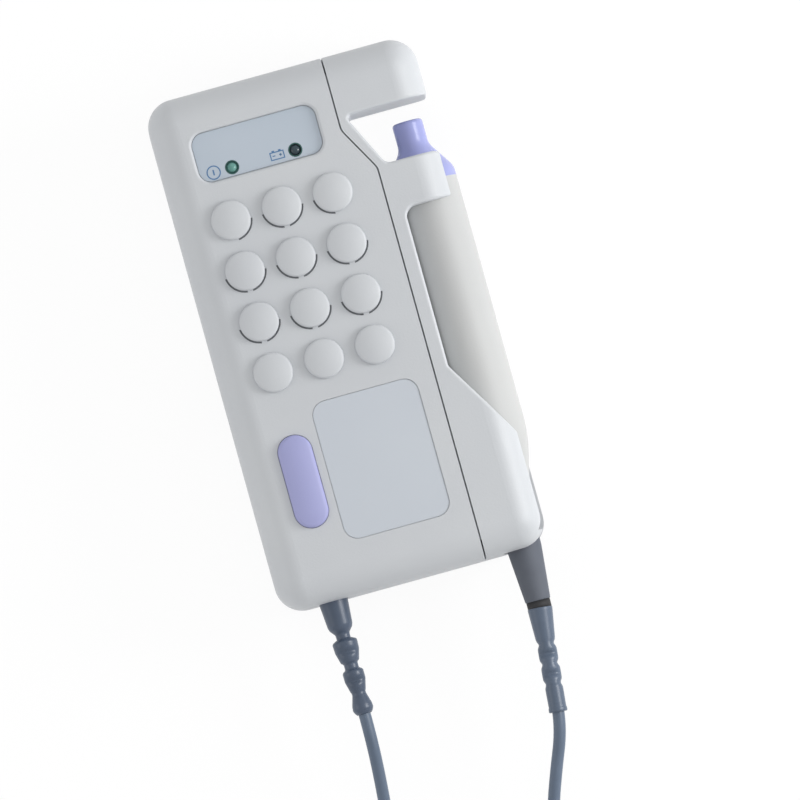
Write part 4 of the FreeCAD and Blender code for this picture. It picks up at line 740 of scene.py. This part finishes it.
SIDE_CUT_DEPTH = 0.5
FACE_CUT_DEPTH = 0.8
CUT_REACH = 0.75
BAND_TOP = Vector((29.557, -84.38, 13.5))
BAND_AXIS = Vector((-0.01745, -0.99985, 0))
BAND_RADIUS = 3.22
BAND_LENGTH = 2.1


def outline_at(outline, along):
    """The radius of an outline at one place along it."""
    for (start, first), (end, last) in zip(outline, outline[1:]):
        if along <= end:
            return first + (last - first) * (along - start) / (end - start)
    return outline[-1][1]


def cut_share(places, along):
    """How deep a row of soft cuts goes at one place along the axis."""
    return sum(math.exp(-(((along - place) / CUT_REACH) ** 2)) for place in places)


def down_axis(top, axis):
    """The place of a shape whose local Z axis runs down an axis from its top."""
    return Matrix.Translation(top) @ axis.to_track_quat("Z", "X").to_matrix().to_4x4()


def make_relief(relief, materials):
    """A soft relief on the lead, cut from its sides and from its faces so that it bends."""
    first, last = relief["outline"][0][0], relief["outline"][-1][0]
    heights = [first + (last - first) * i / RELIEF_RINGS for i in range(RELIEF_RINGS + 1)]
    outline = [(outline_at(relief["outline"], h), h) for h in heights]
    shape = bmesh.new()
    turned(shape, [(0, first), *outline, (0, last)])
    for vert in shape.verts:
        spot = vert.co / MM
        radius = math.hypot(spot.x, spot.y)
        if radius == 0:
            continue
        face = (spot.x / radius) ** 2
        depth = FACE_CUT_DEPTH * face * cut_share(relief["face_cuts"], spot.z)
        depth += SIDE_CUT_DEPTH * (1 - face) * cut_share(relief["side_cuts"], spot.z)
        keep = (radius - depth) / radius
        vert.co = Vector((spot.x * keep, spot.y * keep, spot.z)) * MM
    place = down_axis(relief["top"] * MM, relief["axis"])
    bmesh.ops.transform(shape, matrix=place, verts=shape.verts)
    piece = add_piece(shape, relief["name"], materials[relief["finish"]], relief["body"])
    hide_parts(relief["stands_for"])


def make_band(materials):
    """The black ring that closes the joint between the boot and the relief."""
    shape = bmesh.new()
    outline = [(0, 0), (BAND_RADIUS, 0), (BAND_RADIUS, BAND_LENGTH), (0, BAND_LENGTH)]
    turned(shape, outline, down_axis(BAND_TOP, BAND_AXIS))
    add_piece(shape, "boot_band", materials["black_rubber"], "probe")


# Floor and light, in metres

FLOOR_HALF = 3.0
FLOOR_LEVEL = -0.0001
FLOOR_COLOUR = "#F2F2F2"
FLOOR_GLOW = 1.03
FLOOR_GLOW_SHARE = 0.88
SURROUND_STRENGTH = 0.69


def make_floor():
    """A white table that stays white to the eye of the camera and keeps a faint shadow."""
    mesh = bpy.data.meshes.new("floor")
    ways = ((-1, -1), (1, -1), (1, 1), (-1, 1))
    mesh.from_pydata([(x * FLOOR_HALF, y * FLOOR_HALF, FLOOR_LEVEL) for x, y in ways], [], [(0, 1, 2, 3)])
    floor = add_object("floor", mesh)
    material, tree = bare_material("white_table")
    matt = add(tree, "ShaderNodeBsdfDiffuse", {"Color": linear(FLOOR_COLOUR)})
    glow = add(tree, "ShaderNodeEmission", {"Color": WHITE, "Strength": FLOOR_GLOW})
    path = add(tree, "ShaderNodeLightPath")
    seen = path.outputs["Is Camera Ray"]
    for ray in ("Is Glossy Ray", "Is Transmission Ray"):
        seen = add(tree, "ShaderNodeMath", {0: seen, 1: path.outputs[ray]}, operation="MAXIMUM").outputs[0]
    share = add(tree, "ShaderNodeMath", {0: seen, 1: FLOOR_GLOW_SHARE}, operation="MULTIPLY")
    mixed = add(
        tree,
        "ShaderNodeMixShader",
        {"Fac": share.outputs[0], 1: matt.outputs[0], 2: glow.outputs[0]},
    )
    add(tree, "ShaderNodeOutputMaterial", {"Surface": mixed.outputs[0]})
    mesh.materials.append(material)


def make_lamp(name, spot, size, watts, diffuse=True, glossy=True):
    """A round lamp that looks at the middle of the case, for matt shading, for highlights or for both."""
    data = bpy.data.lights.new(name, "AREA")
    data.shape = "DISK"
    data.size = size
    data.energy = watts
    lamp = add_object(name, data)
    turn = (-Vector(spot)).to_track_quat("-Z", "Y")
    lamp.matrix_world = Matrix.Translation(spot) @ turn.to_matrix().to_4x4()
    lamp.visible_diffuse = diffuse
    lamp.visible_glossy = glossy


def make_light():
    """A low key light from the probe's side, a faint fill from the other side and a pale surround.

    The key only shades, and the sheen lamp above it gives the highlights.
    """
    world = bpy.data.worlds.new("studio")
    world.use_nodes = True
    surround = world.node_tree.nodes["Background"]
    surround.inputs["Color"].default_value = WHITE
    surround.inputs["Strength"].default_value = SURROUND_STRENGTH
    bpy.context.scene.world = world
    make_lamp("key", spot=(0.64, -0.04, 0.235), size=0.32, watts=3.05, glossy=False)
    make_lamp("sheen", spot=(0.52, -0.04, 0.44), size=0.32, watts=2.75, diffuse=False)
    make_lamp("fill", spot=(-0.55, 0.0, 0.25), size=0.36, watts=0.35)


# The whole scene: the camera and the lead are made first

bpy.context.scene.view_settings.view_transform = "Standard"
make_camera()
finishes = make_materials()
dress_nodes(finishes)
lead_coil = coil_points()
make_main_lead(lead_coil, finishes["slate_rubber"])
make_lead_tail(lead_coil, finishes["slate_rubber"])
make_signs(finishes)
make_crowns(finishes)
make_slot_cloth(finishes)
make_button_crown(finishes)
for lead_relief in RELIEFS:
    make_relief(lead_relief, finishes)
make_band(finishes)
make_floor()
make_light()
